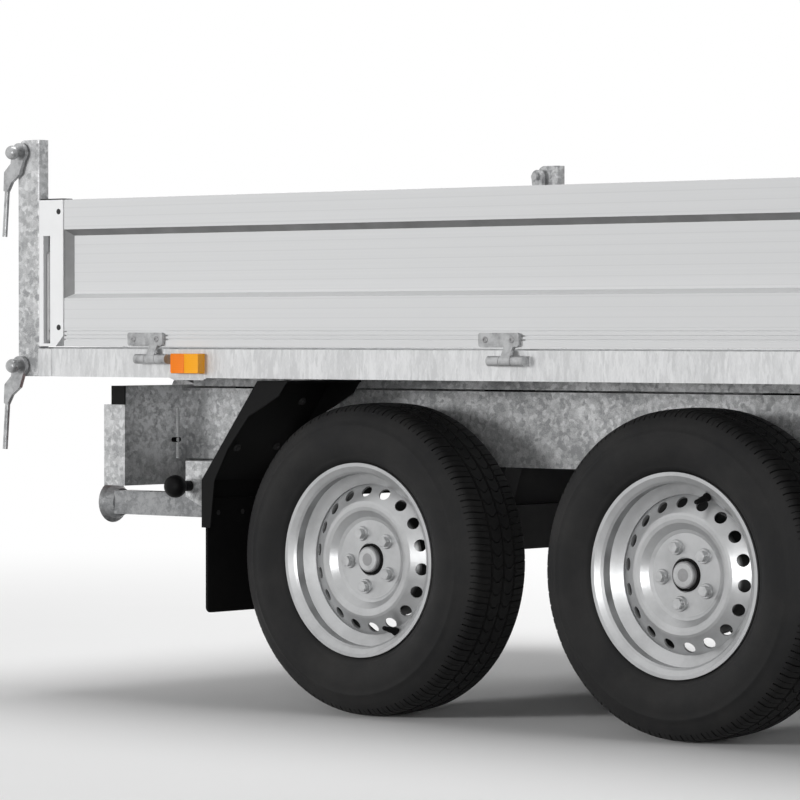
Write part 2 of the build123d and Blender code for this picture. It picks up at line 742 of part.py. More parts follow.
def light_beam():
    """Folded rear beam that carries the lamps, open to the front underneath the cross tube."""
    x = (X_CROSS_TUBE + CROSS_TUBE / 2 - LIGHT_BEAM_DEPTH, X_CROSS_TUBE + CROSS_TUBE / 2)
    z = (LIGHT_BEAM_TOP - LIGHT_BEAM_HEIGHT, LIGHT_BEAM_TOP)
    sheet = LIGHT_BEAM_SHEET
    beam = span(x, (-LIGHT_BEAM_HALF, LIGHT_BEAM_HALF), z)
    inside = (-LIGHT_BEAM_HALF + sheet, LIGHT_BEAM_HALF - sheet)
    return beam - span((x[0] + sheet, x[1] - sheet), inside, (z[0] - sheet, z[1] - sheet))


def tube_end_caps():
    z = (LIGHT_BEAM_TOP, LIGHT_BEAM_TOP + CROSS_TUBE)
    x = (X_CROSS_TUBE - CROSS_TUBE / 2, X_CROSS_TUBE + CROSS_TUBE / 2)
    return both_sides(lambda: span(x, (LIGHT_BEAM_HALF - END_CAP, LIGHT_BEAM_HALF), z))


def tip_brackets():
    """Forked ears behind the rear cross tube with the pins that the bed tips on."""
    x_tube = X_CROSS_TUBE - CROSS_TUBE / 2
    plate = [
        (X_TIP_AXIS, Z_TIP_AXIS + TIP_EYE_RADIUS),
        (x_tube, LIGHT_BEAM_TOP + CROSS_TUBE),
        (x_tube, LIGHT_BEAM_TOP),
        (X_TIP_AXIS, Z_TIP_AXIS - TIP_EYE_RADIUS),
    ]

    def make():
        reach = TIP_EAR_GAP / 2 + TIP_EAR_WIDTH
        fork = along_y(TIP_PIN_RADIUS, X_TIP_AXIS, (TIP_EAR_Y - reach, TIP_EAR_Y + reach), Z_TIP_AXIS)
        for side in SIDES:
            y = sorted((TIP_EAR_Y + side * TIP_EAR_GAP / 2, TIP_EAR_Y + side * reach))
            fork += extrude_y(plate, y) + along_y(TIP_EYE_RADIUS, X_TIP_AXIS, y, Z_TIP_AXIS)
        return fork

    return both_sides(make)


def bed_buffers():
    """Rubber pads on the beams that the bed's runners rest on."""
    y = (RUNNER_FACE - RUNNER_WIDTH + BUFFER_MARGIN, RUNNER_FACE - BUFFER_MARGIN)
    first = X_CROSS_TUBE + BUFFER_INSET
    last = bearer_places()[-1] - BUFFER_INSET
    places = [first + (last - first) * step / (BUFFER_COUNT - 1) for step in range(BUFFER_COUNT)]
    pads = [span((x, x + BUFFER_LENGTH), y, (BEAM_TOP, RUNNER_BOTTOM)) for x in places]
    return solids_of(pads, [other_side(pad) for pad in pads])


def tail_lamps():
    x_face = X_CROSS_TUBE + CROSS_TUBE / 2 - LIGHT_BEAM_DEPTH
    z_top = LIGHT_BEAM_TOP - TAIL_LAMP_DROP
    y_end = LIGHT_BEAM_HALF - TAIL_LAMP_INSET

    def make():
        lamp = span(
            (x_face - TAIL_LAMP_DEPTH, x_face),
            (y_end - TAIL_LAMP_LENGTH, y_end),
            (z_top - TAIL_LAMP_HEIGHT, z_top),
        )
        return fillet(lamp.faces().sort_by(Axis.X)[0].edges(), TAIL_LAMP_CORNER)

    return both_sides(make)


# Axles

def axle_tubes():
    """Square torsion tubes, each with a web that ties it to the beams and the pads that bolt it there."""
    tubes = []
    for x_wheel in (X_REAR_AXLE, X_FRONT_AXLE):
        x = x_wheel + AXLE_LEAD
        half = AXLE_TUBE / 2
        tube = span((x - half, x + half), (-AXLE_HALF, AXLE_HALF), (Z_AXLE - half, Z_AXLE + half))
        web_end = BEAM_FACE - BEAM_DEPTH / 2
        tube += span((x - AXLE_WEB / 2, x + AXLE_WEB / 2), (-web_end, web_end), (Z_AXLE, BEAM_BOTTOM))
        for side in SIDES:
            y = side * web_end
            pad = extrude_y(
                [
                    (x - half - PAD_FLARE, BEAM_BOTTOM),
                    (x + half + PAD_FLARE, BEAM_BOTTOM),
                    (x + half, Z_AXLE + half),
                    (x - half, Z_AXLE + half),
                ],
                (y - BEAM_DEPTH / 2 + PAD_MARGIN, y + BEAM_DEPTH / 2 - PAD_MARGIN),
            )
            tube += pad
        tubes.append(tube)
    return solids_of(tubes)


def swing_arm(x_wheel):
    """Left trailing arm with its spindle and brake back plate."""
    y = (AXLE_HALF, AXLE_HALF + ARM_THICKNESS)
    x_tube = x_wheel + AXLE_LEAD
    length = hypot(AXLE_LEAD, AXLE_RISE)
    tilt = degrees(atan2(AXLE_RISE, AXLE_LEAD))
    web = Box(length, ARM_THICKNESS, ARM_WEB)
    middle = ((x_wheel + x_tube) / 2, (y[0] + y[1]) / 2, (Z_HUB + Z_AXLE) / 2)
    arm = Pos(*middle) * Rot(0, -tilt, 0) * web
    arm += along_y(ARM_BOSS_RADIUS, x_tube, y, Z_AXLE)
    arm += along_y(ARM_HUB_RADIUS, x_wheel, y, Z_HUB)
    drum_edge = Y_WHEEL + RIM_HALF - DISC_FACE_DEPTH - DISC_SHEET - DRUM_WIDTH
    plate = (drum_edge - MOVING_CLEARANCE - BACKPLATE_SHEET, drum_edge - MOVING_CLEARANCE)
    arm += along_y(ARM_NECK_RADIUS, x_wheel, (y[1], plate[1]), Z_HUB)
    arm += along_y(BACKPLATE_RADIUS, x_wheel, plate, Z_HUB)
    return arm + along_y(SPINDLE_RADIUS, x_wheel, (plate[1], y[1] + SPINDLE_LENGTH), Z_HUB)


def swing_arms():
    arms = [swing_arm(x) for x in (X_REAR_AXLE, X_FRONT_AXLE)]
    return solids_of(arms, [other_side(arm) for arm in arms])


# Mudguards

def guard_outline(inset):
    """Rear mudguard's line from its top end to its foot, inset from the outer skin, in (x, z)."""
    knee_slope = (GUARD_REACH - GUARD_SHOULDER) / (GUARD_TOP - GUARD_KNEE)
    corner = inset * (hypot(1, knee_slope) - knee_slope)
    low_corner = inset * (hypot(1, knee_slope) - 1) / knee_slope
    return [
        (X_REAR_AXLE - GUARD_SHOULDER + GUARD_FLAT, GUARD_TOP - inset),
        (X_REAR_AXLE - GUARD_SHOULDER + corner, GUARD_TOP - inset),
        (X_REAR_AXLE - GUARD_REACH + inset, GUARD_KNEE - low_corner),
        (X_REAR_AXLE - GUARD_REACH + inset, GUARD_FOOT),
    ]


def slope_point(share, inward):
    """Point (x, z) at a share of the guard's sloping height, inward from its outer skin."""
    x = X_REAR_AXLE - GUARD_REACH + share * (GUARD_REACH - GUARD_SHOULDER)
    return x + inward, GUARD_KNEE + share * (GUARD_TOP - GUARD_KNEE)


def lip_line():
    """Inner edge of the lip from the foot up, flaring where the slope nears the bed."""
    foot = (X_REAR_AXLE - GUARD_REACH + GUARD_FOOT_LIP, GUARD_FOOT)
    return [foot] + [slope_point(share, width) for share, width in GUARD_LIP]


def rear_guard():
    """Left rear mudguard: an angular skin with a lip along both edges."""
    outer, inner = guard_outline(0), guard_outline(GUARD_SHEET)
    skin = extrude_y(outer + inner[::-1], (GUARD_INNER, GUARD_OUTER))
    lip = outer + lip_line()
    skin += extrude_y(lip, (GUARD_OUTER - GUARD_SHEET, GUARD_OUTER))
    return skin + extrude_y(lip, (GUARD_INNER, GUARD_INNER + GUARD_SHEET))


def front_guard():
    """Left front mudguard: the rear one turned round, its top cut off ahead of the wheel."""
    turned = mirror(rear_guard(), about=Plane.YZ.offset(X_TANDEM))
    x = X_FRONT_AXLE + GUARD_FRONT_END
    return turned & span((x, x + GUARD_REACH), (0, HALF_WIDTH), (0, GUARD_TOP))


def mudguards():
    guards = [rear_guard(), front_guard()]
    return solids_of(guards, [other_side(guard) for guard in guards])


def lip_middle(share):
    """Middle of the lip at a share of the slope's height, in (x, z)."""
    for (low, first), (high, second) in zip(GUARD_LIP, GUARD_LIP[1:]):
        if low <= share <= high:
            width = first + (second - first) * (share - low) / (high - low)
            return slope_point(share, width / 2)
    raise ValueError("share lies outside the lip's table")


def stay_places():
    """Places (x, z) of the round stays between a beam and the inner lips of its mudguards."""
    rear = [lip_middle(share) for share in REAR_STAYS]
    front = [lip_middle(share) for share in FRONT_STAYS]
    return rear + [(2 * X_TANDEM - x, z) for x, z in front]


def mud_flaps():
    x_skin = X_REAR_AXLE - GUARD_REACH + GUARD_SHEET

    def make():
        flap = span(
            (x_skin, x_skin + FLAP_SHEET),
            (GUARD_INNER + 2 * GUARD_SHEET, GUARD_OUTER - 2 * GUARD_SHEET),
            (FLAP_BOTTOM, GUARD_FOOT + FLAP_OVERLAP),
        )
        low = flap.edges().filter_by(Axis.X).group_by(Axis.Z)[0]
        return fillet(low, FLAP_CORNER)

    return both_sides(make)


# Rear legs

def stabiliser_leg():
    """Left leg, swung up to the rear: square tube, pivot bush and dished foot."""
    half = LEG_TUBE / 2
    x_foot = X_LEG - LEG_LENGTH
    tube_end = x_foot + FOOT_DEPTH
    y = (LEG_Y - half, LEG_Y + half)
    leg = span((tube_end, X_LEG), y, (LEG_Z - half, LEG_Z + half)) + along_y(half, X_LEG, y, LEG_Z)
    wall = LEG_WALL
    hollow = span(
        (tube_end - wall, X_LEG - half - wall),
        (y[0] + wall, y[1] - wall),
        (LEG_Z - half + wall, LEG_Z + half - wall),
    )
    leg -= hollow
    leg -= along_y(LEG_PIN_RADIUS + PIN_CLEARANCE, X_LEG, (0, BED_WIDTH), LEG_Z)
    section = outline_face(
        [
            (0, FOOT_DEPTH),
            (FOOT_TOP_RADIUS, FOOT_DEPTH),
            (FOOT_RADIUS - FOOT_RIM, FOOT_RIM),
            (FOOT_RADIUS, 0),
            (FOOT_RADIUS - FOOT_SHEET, 0),
            (FOOT_RADIUS - FOOT_RIM - FOOT_SHEET, FOOT_RIM),
            (FOOT_TOP_RADIUS - FOOT_SHEET, FOOT_DEPTH - FOOT_SHEET),
            (0, FOOT_DEPTH - FOOT_SHEET),
        ]
    )
    dish = revolve(section, Axis.Y, 360)
    return leg + Pos(x_foot, LEG_Y, LEG_Z) * Rot(0, 0, -90) * dish


def leg_bracket():
    """Left bracket under the beam: top plate, two cheeks, pivot pin and plunger housing."""
    half = LEG_TUBE / 2
    inner = LEG_Y - half - LEG_PLATE_GAP - LEG_PLATE
    outer = LEG_Y + half + LEG_PLATE_GAP
    x_plunger = X_LEG - PLUNGER_BEHIND
    z_plunger = LEG_Z + PLUNGER_RISE
    x = (x_plunger - LEG_PLATE_MARGIN, X_LEG + LEG_PLATE_MARGIN)
    bracket = span(x, (BEAM_FACE - BEAM_DEPTH, outer + LEG_PLATE), (BEAM_BOTTOM - LEG_PLATE, BEAM_BOTTOM))
    cheek = [
        (x[0], BEAM_BOTTOM - LEG_PLATE),
        (x[0], z_plunger - LEG_PLATE_MARGIN),
        (X_LEG - LEG_PLATE_MARGIN, LEG_Z - LEG_PLATE_MARGIN),
        (x[1], LEG_Z - LEG_PLATE_MARGIN),
        (x[1], BEAM_BOTTOM - LEG_PLATE),
    ]
    for low in (inner, outer):
        bracket += extrude_y(cheek, (low, low + LEG_PLATE))
    bracket += along_y(LEG_PIN_RADIUS, X_LEG, (inner, outer + LEG_PLATE + LEG_PIN_END), LEG_Z)
    face = outer + LEG_PLATE
    return bracket + along_y(PLUNGER_COLLAR_RADIUS, x_plunger, (face, face + PLUNGER_COLLAR), z_plunger)


def leg_knob():
    """Black plunger knob on the left leg bracket."""
    face = LEG_Y + LEG_TUBE / 2 + LEG_PLATE_GAP + LEG_PLATE + PLUNGER_COLLAR
    x, z = X_LEG - PLUNGER_BEHIND, LEG_Z + PLUNGER_RISE
    stem = along_y(PLUNGER_STEM_RADIUS, x, (face, face + PLUNGER_STEM), z)
    y_ball = face + PLUNGER_STEM + PLUNGER_KNOB_RADIUS / 2
    return stem + Pos(x, y_ball, z) * Sphere(PLUNGER_KNOB_RADIUS)


# Bed

def bed_rails():
    """Channel rails round the bed, side rails between the posts and end rails across."""
    x_side = (X_BED_REAR + POST_LENGTH, X_BED_FRONT - POST_LENGTH)
    inner, sheet = HALF_WIDTH - RAIL_FLANGE, RAIL_SHEET
    side = [
        (HALF_WIDTH, RAIL_BOTTOM),
        (HALF_WIDTH, RAIL_TOP),
        (inner, RAIL_TOP),
        (inner, RAIL_TOP - sheet),
        (HALF_WIDTH - sheet, RAIL_TOP - sheet),
        (HALF_WIDTH - sheet, RAIL_BOTTOM + sheet),
        (inner, RAIL_BOTTOM + sheet),
        (inner, RAIL_BOTTOM),
    ]
    sides = both_sides(lambda: extrude_x(side, x_side))
    ends = []
    half = HALF_WIDTH - POST_DEPTH
    for x_face, inward in ((X_BED_REAR, 1), (X_BED_FRONT, -1)):
        end = [
            (x_face, RAIL_BOTTOM),
            (x_face, RAIL_TOP),
            (x_face + inward * RAIL_FLANGE, RAIL_TOP),
            (x_face + inward * RAIL_FLANGE, RAIL_TOP - sheet),
            (x_face + inward * sheet, RAIL_TOP - sheet),
            (x_face + inward * sheet, RAIL_BOTTOM + sheet),
            (x_face + inward * RAIL_FLANGE, RAIL_BOTTOM + sheet),
            (x_face + inward * RAIL_FLANGE, RAIL_BOTTOM),
        ]
        ends.append(extrude_y(end, (-half, half)))
    return solids_of(sides, ends)


def bearer_places():
    """Rear faces of the cross bearers, spaced from the tipping axis forward, one of them over the ram."""
    first = X_TIP_AXIS - BEARER_WIDTH / 2
    last = X_BED_FRONT - RAIL_FLANGE - 2 * BEARER_WIDTH
    places = [first + (last - first) * i / (BEARER_COUNT - 1) for i in range(BEARER_COUNT)]
    over_ram = X_RAM - BEARER_WIDTH / 2
    inner = range(1, BEARER_COUNT - 1)
    nearest = min(inner, key=lambda i: abs(places[i] - over_ram))
    places[nearest] = over_ram
    return places


def bed_bearers():
    """Cross bearers; the first hangs on the tipping pins and the one over the ram has its cup."""
    half = HALF_WIDTH - RAIL_FLANGE
    z = (RAIL_BOTTOM, RAIL_TOP)
    bearers = [span((x, x + BEARER_WIDTH), (-half, half), z) for x in bearer_places()]
    half_ear = TIP_EAR_GAP / 2 - TIP_EAR_CLEARANCE
    x_ear = (X_TIP_AXIS - TIP_EYE_RADIUS, X_TIP_AXIS + TIP_EYE_RADIUS)
    for side in SIDES:
        y_ear = sorted((side * (TIP_EAR_Y - half_ear), side * (TIP_EAR_Y + half_ear)))
        ear = along_y(TIP_EYE_RADIUS, X_TIP_AXIS, y_ear, Z_TIP_AXIS)
        ear += span(x_ear, y_ear, (Z_TIP_AXIS, RAIL_BOTTOM))
        bearers[0] += ear - along_y(TIP_PIN_RADIUS + PIN_CLEARANCE, X_TIP_AXIS, y_ear, Z_TIP_AXIS)
    over_ram = bearer_places().index(X_RAM - BEARER_WIDTH / 2)
    bearers[over_ram] += ram_cup()
    return solids_of(bearers)


def ram_cup():
    """Plate under a bearer with the shallow seat for the ram's ball."""
    z_low = Z_RAM_BALL + RAM_BALL_RADIUS + CUP_CLEARANCE - CUP_DEPTH
    plate = span((X_RAM - CUP_HALF, X_RAM + CUP_HALF), (-CUP_HALF, CUP_HALF), (z_low, RAIL_BOTTOM))
    return plate - Pos(X_RAM, 0, Z_RAM_BALL) * Sphere(RAM_BALL_RADIUS + CUP_CLEARANCE)


def bed_runner():
    """Left runner under the bearers, ending in front of the rear cross tube."""
    x = (X_CROSS_TUBE + CROSS_TUBE / 2 + 2 * MOVING_CLEARANCE, bearer_places()[-1] + BEARER_WIDTH)
    return span(x, (RUNNER_FACE - RUNNER_WIDTH, RUNNER_FACE), (RUNNER_BOTTOM, RAIL_BOTTOM))


def bed_floor():
    half = HALF_WIDTH - POST_DEPTH - FLOOR_GAP
    x = (X_BED_REAR + RAIL_FLANGE, X_BED_FRONT - PANEL_THICKNESS - TAILGATE_INSET)
    return span(x, (-half, half), (RAIL_TOP, FLOOR_TOP))


def rear_post():
    """Left rear post: box section with a rounded rear top corner and the bolt holes."""
    x = (X_BED_REAR, X_BED_REAR + POST_LENGTH)
    y = (HALF_WIDTH - POST_DEPTH, HALF_WIDTH)
    post = span(x, y, (RAIL_BOTTOM, POST_TOP))
    corner = post.edges().filter_by(Axis.Y).group_by(Axis.Z)[-1].sort_by(Axis.X)[0]
    post = fillet(corner, POST_TOP_RADIUS)
    post = fillet(post.edges().filter_by(Axis.Z).group_by(Axis.X)[-1], POST_CORNER)
    wall = POST_WALL
    inside = (x[0] + wall, x[1] - wall), (y[0] + wall, y[1] - wall)
    post -= span(*inside, (RAIL_BOTTOM - wall, POST_TOP - POST_TOP_RADIUS))
    for z in (Z_TOP_BOLT, Z_LOW_BOLT):
        post -= along_y(BOLT_RADIUS + PIN_CLEARANCE, X_BOLT, (0, BED_WIDTH), z)
    return post


def front_post():
    """Left front post, level with the panels."""
    x = (X_BED_FRONT - POST_LENGTH, X_BED_FRONT)
    y = (HALF_WIDTH - POST_DEPTH, HALF_WIDTH)
    post = span(x, y, (RAIL_BOTTOM, PANEL_TOP))
    post = fillet(post.edges().filter_by(Axis.Z).group_by(Axis.X)[0], POST_CORNER)
    wall = POST_WALL
    inside = (x[0] + wall, x[1] - wall), (y[0] + wall, y[1] - wall), (RAIL_BOTTOM - wall, PANEL_TOP - wall)
    return post - span(*inside)


def latch(z, y_inner):
    """Left post latch: bolt with ball end and the hanging lever, at bolt height z."""
    y_ball = HALF_WIDTH + BOLT_BALL_OUT
    body = along_y(BOLT_RADIUS, X_BOLT, (y_inner, y_ball), z)
    body += Pos(X_BOLT, y_ball, z) * Sphere(BOLT_BALL_RADIUS)
    y = (HALF_WIDTH + LEVER_GAP, HALF_WIDTH + LEVER_GAP + LEVER_SHEET)
    body += along_y(LEVER_RING_RADIUS, X_BOLT, y, z)
    body += extrude_y([(X_BOLT + along, z + up) for along, up in LEVER_LEAF], y)
    x_tip = X_BED_REAR - LATCH_REACH + LEVER_GRIP_RADIUS
    grip = (X_BOLT + LEVER_NECK[0], z + LEVER_NECK[1]), (x_tip, z - LEVER_DROP)
    run = (grip[1][0] - grip[0][0], grip[1][1] - grip[0][1])
    length = hypot(*run)
    bar = Cylinder(LEVER_GRIP_RADIUS, length)
    middle = ((grip[0][0] + grip[1][0]) / 2, sum(y) / 2, (grip[0][1] + grip[1][1]) / 2)
    lean = degrees(atan2(run[0], run[1]))
    return body + Pos(*middle) * Rot(0, lean, 0) * bar


def post_latches():
    def make():
        upper = latch(Z_TOP_BOLT, ARM_INNER - ARM_SHEET)
        lower = latch(Z_LOW_BOLT, HALF_WIDTH - POST_DEPTH)
        return Compound(children=[*upper.solids(), *lower.solids()])

    return both_sides(make)


def panel_points():
    """Outline of the extruded panel in (outwards, up), outer face at 0 and inner face negative."""
    points = [(-PANEL_THICKNESS, 0.0), (0.0, 0.0)]
    for height in GROOVE_HEIGHTS:
        points += [
            (0.0, height - GROOVE_WIDTH / 2),
            (-GROOVE_DEPTH, height - GROOVE_WIDTH / 2),
            (-GROOVE_DEPTH, height + GROOVE_WIDTH / 2),
            (0.0, height + GROOVE_WIDTH / 2),
        ]
    low = GROOVE_STRIP + LOWER_BAND
    high = low + LOWER_SLOPE + RECESS_HEIGHT
    points += [
        (0.0, low),
        (-PANEL_RECESS, low + LOWER_SLOPE),
        (-PANEL_RECESS, high),
        (0.0, high + UPPER_SLOPE),
        (0.0, PANEL_HEIGHT),
        (-PANEL_THICKNESS, PANEL_HEIGHT),
    ]
    return points


def dropside_panel():
    """Left dropside panel between its two end locks."""
    points = [(HALF_WIDTH + out, PANEL_BOTTOM + up) for out, up in panel_points()]
    return extrude_x(points, (X_DROPSIDE_REAR + LOCK_LENGTH, X_DROPSIDE_FRONT - LOCK_LENGTH))


def end_lock(x_end, inward):
    """Left end lock: full-height housing with a slot for its handle and one lower corner cut off."""
    x_inner = x_end + inward * LOCK_LENGTH
    housing = extrude_y(
        [
            (x_end, PANEL_BOTTOM),
            (x_inner - inward * LOCK_CHAMFER, PANEL_BOTTOM),
            (x_inner, PANEL_BOTTOM + LOCK_CHAMFER),
            (x_inner, PANEL_TOP),
            (x_end, PANEL_TOP),
        ],
        (HALF_WIDTH - PANEL_THICKNESS, HALF_WIDTH + LOCK_PROUD),
    )
    x_slot = x_end + inward * LOCK_SLOT_INSET
    slot_z = (PANEL_BOTTOM + LOCK_SLOT_BOTTOM, PANEL_BOTTOM + LOCK_SLOT_BOTTOM + LOCK_SLOT_HEIGHT)
    y_slot = HALF_WIDTH + LOCK_PROUD
    housing -= span(
        (x_slot, x_slot + inward * LOCK_SLOT_WIDTH), (y_slot - LOCK_SLOT_DEPTH, y_slot + LOCK_PROUD), slot_z
    )
    return housing + recess_end(x_inner, inward)


def recess_end(x_inner, inward):
    """Sloping end of the left panel's recess, mitred into the slopes above and below it."""
    x_foot = x_inner + inward * LOCK_SLOPE
    wedge = [(x_inner, HALF_WIDTH), (x_foot, HALF_WIDTH - PANEL_RECESS), (x_inner, HALF_WIDTH - PANEL_RECESS)]
    z_low = PANEL_BOTTOM + GROOVE_STRIP + LOWER_BAND
    height = LOWER_SLOPE + RECESS_HEIGHT + UPPER_SLOPE
    end = Pos(0, 0, z_low) * extrude(outline_face(wedge), height, dir=(0, 0, 1))
    panel = [(HALF_WIDTH + out, PANEL_BOTTOM + up) for out, up in panel_points()]
    return end - extrude_x(panel, sorted((x_inner, x_foot)))


def dropside_locks():
    return solids_of(end_lock(X_DROPSIDE_REAR, 1), end_lock(X_DROPSIDE_FRONT, -1))


def hinge_straps():
    """Hinge halves on the left dropside: plate on the groove strip, neck and middle knuckle."""
    straps = []
    y_face = HALF_WIDTH
    for x in HINGE_PLACES:
        half = HINGE_PLATE_LENGTH / 2
        z_low = PANEL_BOTTOM + HINGE_PLATE_RISE
        strap = span(
            (x - HINGE_PLATE_BACK - half, x - HINGE_PLATE_BACK + half),
            (y_face, y_face + HINGE_PLATE_SHEET),
            (z_low, z_low + HINGE_PLATE_HEIGHT),
        )
        strap = fillet(strap.edges().filter_by(Axis.Y), HINGE_PLATE_CORNER)
        neck = HINGE_NECK / 2
        strap += extrude_x(
            [
                (y_face, z_low + HINGE_NECK_RISE),
                (y_face + HINGE_PLATE_SHEET, z_low + HINGE_NECK_RISE),
                (Y_HINGE + HINGE_BARREL_RADIUS, Z_HINGE),
                (Y_HINGE, Z_HINGE),
                (y_face + HINGE_NECK_OUT, RAIL_TOP),
                (y_face, PANEL_BOTTOM),
            ],
            (x - neck, x + neck),
        )
        knuckle = HINGE_KNUCKLE / 2 - HINGE_END_GAP
        bar = along_x(HINGE_BARREL_RADIUS, (x - knuckle, x + knuckle), Y_HINGE, Z_HINGE)
        strap += bar
        strap -= along_x(HINGE_PIN_RADIUS + PIN_CLEARANCE, (x - half, x + half), Y_HINGE, Z_HINGE)
        straps.append(strap)
    return solids_of(straps)


def hinge_knuckles():
    """Hinge halves on the left rail: leaf, two knuckles and the pin."""
    halves = []
    for x in HINGE_PLACES:
        half = 1.5 * HINGE_KNUCKLE
        inner = HINGE_KNUCKLE / 2
        z_web = Z_HINGE - HINGE_BARREL_RADIUS
        leaf = span(
            (x - half, x + half),
            (HALF_WIDTH, HALF_WIDTH + HINGE_LEAF),
            (Z_HINGE - HINGE_BARREL_RADIUS, Z_HINGE + HINGE_BARREL_RADIUS),
        )
        hinge = leaf + along_x(HINGE_PIN_RADIUS, (x - half, x + half), Y_HINGE, Z_HINGE)
        for ends in ((x - half, x - inner), (x + inner, x + half)):
            hinge += along_x(HINGE_BARREL_RADIUS, ends, Y_HINGE, Z_HINGE)
            hinge += span(ends, (HALF_WIDTH, Y_HINGE), (z_web, z_web + HINGE_WEB))
        halves.append(hinge)
    return solids_of(halves, [other_side(half) for half in halves])


def marker_lamps():
    """Side marker lamps on the rails, ahead of each side's end hinges."""
    lamps = []
    for x_hinge in (HINGE_PLACES[0], HINGE_PLACES[-1]):
        x = x_hinge + MARKER_AHEAD
        z = RAIL_BOTTOM + RAIL_HEIGHT / 2
        lamp = span(
            (x - MARKER_LENGTH / 2, x + MARKER_LENGTH / 2),
            (HALF_WIDTH, HALF_WIDTH + MARKER_DEPTH),
            (z - MARKER_HEIGHT / 2, z + MARKER_HEIGHT / 2),
        )
        lamps.append(fillet(lamp.faces().sort_by(Axis.Y)[-1].edges(), MARKER_CORNER))
    return solids_of(lamps, [other_side(lamp) for lamp in lamps])


def end_panel(x_outer, outward, half, z_bottom):
    """Panel of the shared profile across the bed, outer face at x_outer."""
    points = [(x_outer + outward * out, z_bottom + up) for out, up in panel_points()]
    return extrude_y(points, (-half, half))


def front_board():
    return end_panel(X_BED_FRONT, 1, HALF_WIDTH - POST_DEPTH, RAIL_TOP)


def tailgate_panel():
    half = HALF_WIDTH - POST_DEPTH - MOVING_CLEARANCE
    return end_panel(X_BED_REAR + TAILGATE_INSET, -1, half, FLOOR_TOP + MOVING_CLEARANCE)


def tailgate_arm():
    """Left tailgate arm: a plate from the panel's top edge up to its eye on the post bolt."""
    z_base = FLOOR_TOP + MOVING_CLEARANCE + PANEL_HEIGHT
    x_root = X_BED_REAR + TAILGATE_INSET
    y = (ARM_INNER, ARM_INNER + ARM_SHEET)
    arm = extrude_y(
        [
            (x_root, z_base),
            (x_root + ARM_ROOT, z_base),
            (X_BOLT + ARM_EYE_RADIUS, Z_TOP_BOLT),
            (X_BOLT - ARM_EYE_RADIUS, Z_TOP_BOLT),
        ],
        y,
    )
    arm += along_y(ARM_EYE_RADIUS, X_BOLT, y, Z_TOP_BOLT)
    return arm - along_y(BOLT_RADIUS + PIN_CLEARANCE, X_BOLT, (0, HALF_WIDTH), Z_TOP_BOLT)


# Tipping ram

def ram_radius(stage):
    """Outside radius of a stage, the barrel being stage 0."""
    return BARREL_RADIUS - stage * (RAM_WALL + RAM_CLEARANCE)


def ram_barrel():
    wall = ram_radius(0) - RAM_WALL
    length = BARREL_TOP - RAM_BOTTOM
    barrel = Pos(X_RAM, 0, RAM_BOTTOM + length / 2) * Cylinder(BARREL_RADIUS, length)
    barrel += along_y(TRUNNION_RADIUS, X_RAM, (-TRUNNION_HALF, TRUNNION_HALF), Z_TRUNNION)
    barrel += Pos(X_RAM, 0, Z_TRUNNION) * Cylinder(BARREL_RADIUS + TRUNNION_BAND, TRUNNION_BAND_HEIGHT)
    return barrel - Pos(X_RAM, 0, RAM_BOTTOM + RAM_WALL + length / 2) * Cylinder(wall, length)


def ram_stage(stage):
    """Tube of a stage, nested in the one outside it; the last one carries the ball."""
    radius = ram_radius(stage)
    bottom = RAM_BOTTOM + RAM_WALL + stage * RAM_CLEARANCE
    top = BARREL_TOP + RAM_STEP * stage
    if stage > 1:
        bottom += (stage - 1) * RAM_WALL
    tube = Pos(X_RAM, 0, (bottom + top) / 2) * Cylinder(radius, top - bottom)
    if stage < RAM_STAGES:
        length = top - bottom
        bore = radius - RAM_WALL
        return tube - Pos(X_RAM, 0, bottom + RAM_WALL + length / 2) * Cylinder(bore, length)
    neck = Pos(X_RAM, 0, (top + Z_RAM_BALL) / 2) * Cylinder(RAM_NECK_RADIUS, Z_RAM_BALL - top)
    return tube + neck + Pos(X_RAM, 0, Z_RAM_BALL) * Sphere(RAM_BALL_RADIUS)


# Drawbar and coupling

def drawbar_arm():
    """Left drawbar arm, a sloping tube from the front member to the overrun housing."""
    rear = Vector(X_FRONT_MEMBER, ARM_REAR_Y, ARM_REAR_Z)
    front = Vector(X_ARM_FRONT, ARM_FRONT_Y, Z_COUPLING)
    run = front - rear
    across = Vector(0, 0, 1).cross(run).normalized()
    middle = (rear + front) * 0.5
    plane = Plane(origin=middle, x_dir=across, z_dir=run.normalized())
    arm = plane * Box(ARM_TUBE_WIDTH, ARM_TUBE_HEIGHT, run.length + ARM_SPARE)
    keep_x = (X_FRONT_MEMBER + FRONT_MEMBER_WIDTH, X_JOCKEY - JOCKEY_TUBE_RADIUS - ARM_END_GAP)
    return arm & span(keep_x, (HOUSING_HALF, HALF_WIDTH), (0, POST_TOP))


def overrun_housing():
    """Cast housing of the overrun brake: side cheeks on the arms and the shaft tube in front."""
    x = (X_HOUSING_FRONT - HOUSING_LENGTH, X_HOUSING_FRONT)
    nose = [(x[1] - back, Z_COUPLING + up) for back, up in HOUSING_NOSE]
    rear = [(x[0], Z_COUPLING + HOUSING_HIGH), (x[0], Z_COUPLING + HOUSING_LOW)]
    body = extrude_y(nose + rear, (-HOUSING_HALF, HOUSING_HALF))
    return body + along_x(HOUSING_RADIUS, x, 0, Z_COUPLING)


def drawbar_gaiter():
    """Folded rubber gaiter over the coupling shaft."""
    pitch = GAITER_LENGTH / GAITER_FOLDS
    points = [(0, 0)]
    for fold in range(GAITER_FOLDS):
        points.append((GAITER_RADIUS - GAITER_FOLD, fold * pitch))
        points.append((GAITER_RADIUS, (fold + 0.5) * pitch))
    points += [(GAITER_RADIUS - GAITER_FOLD, GAITER_LENGTH), (0, GAITER_LENGTH)]
    gaiter = revolve(outline_face(points), Axis.Y, 360)
    return Pos(X_HOUSING_FRONT, 0, Z_COUPLING) * Rot(0, 0, -90) * gaiter


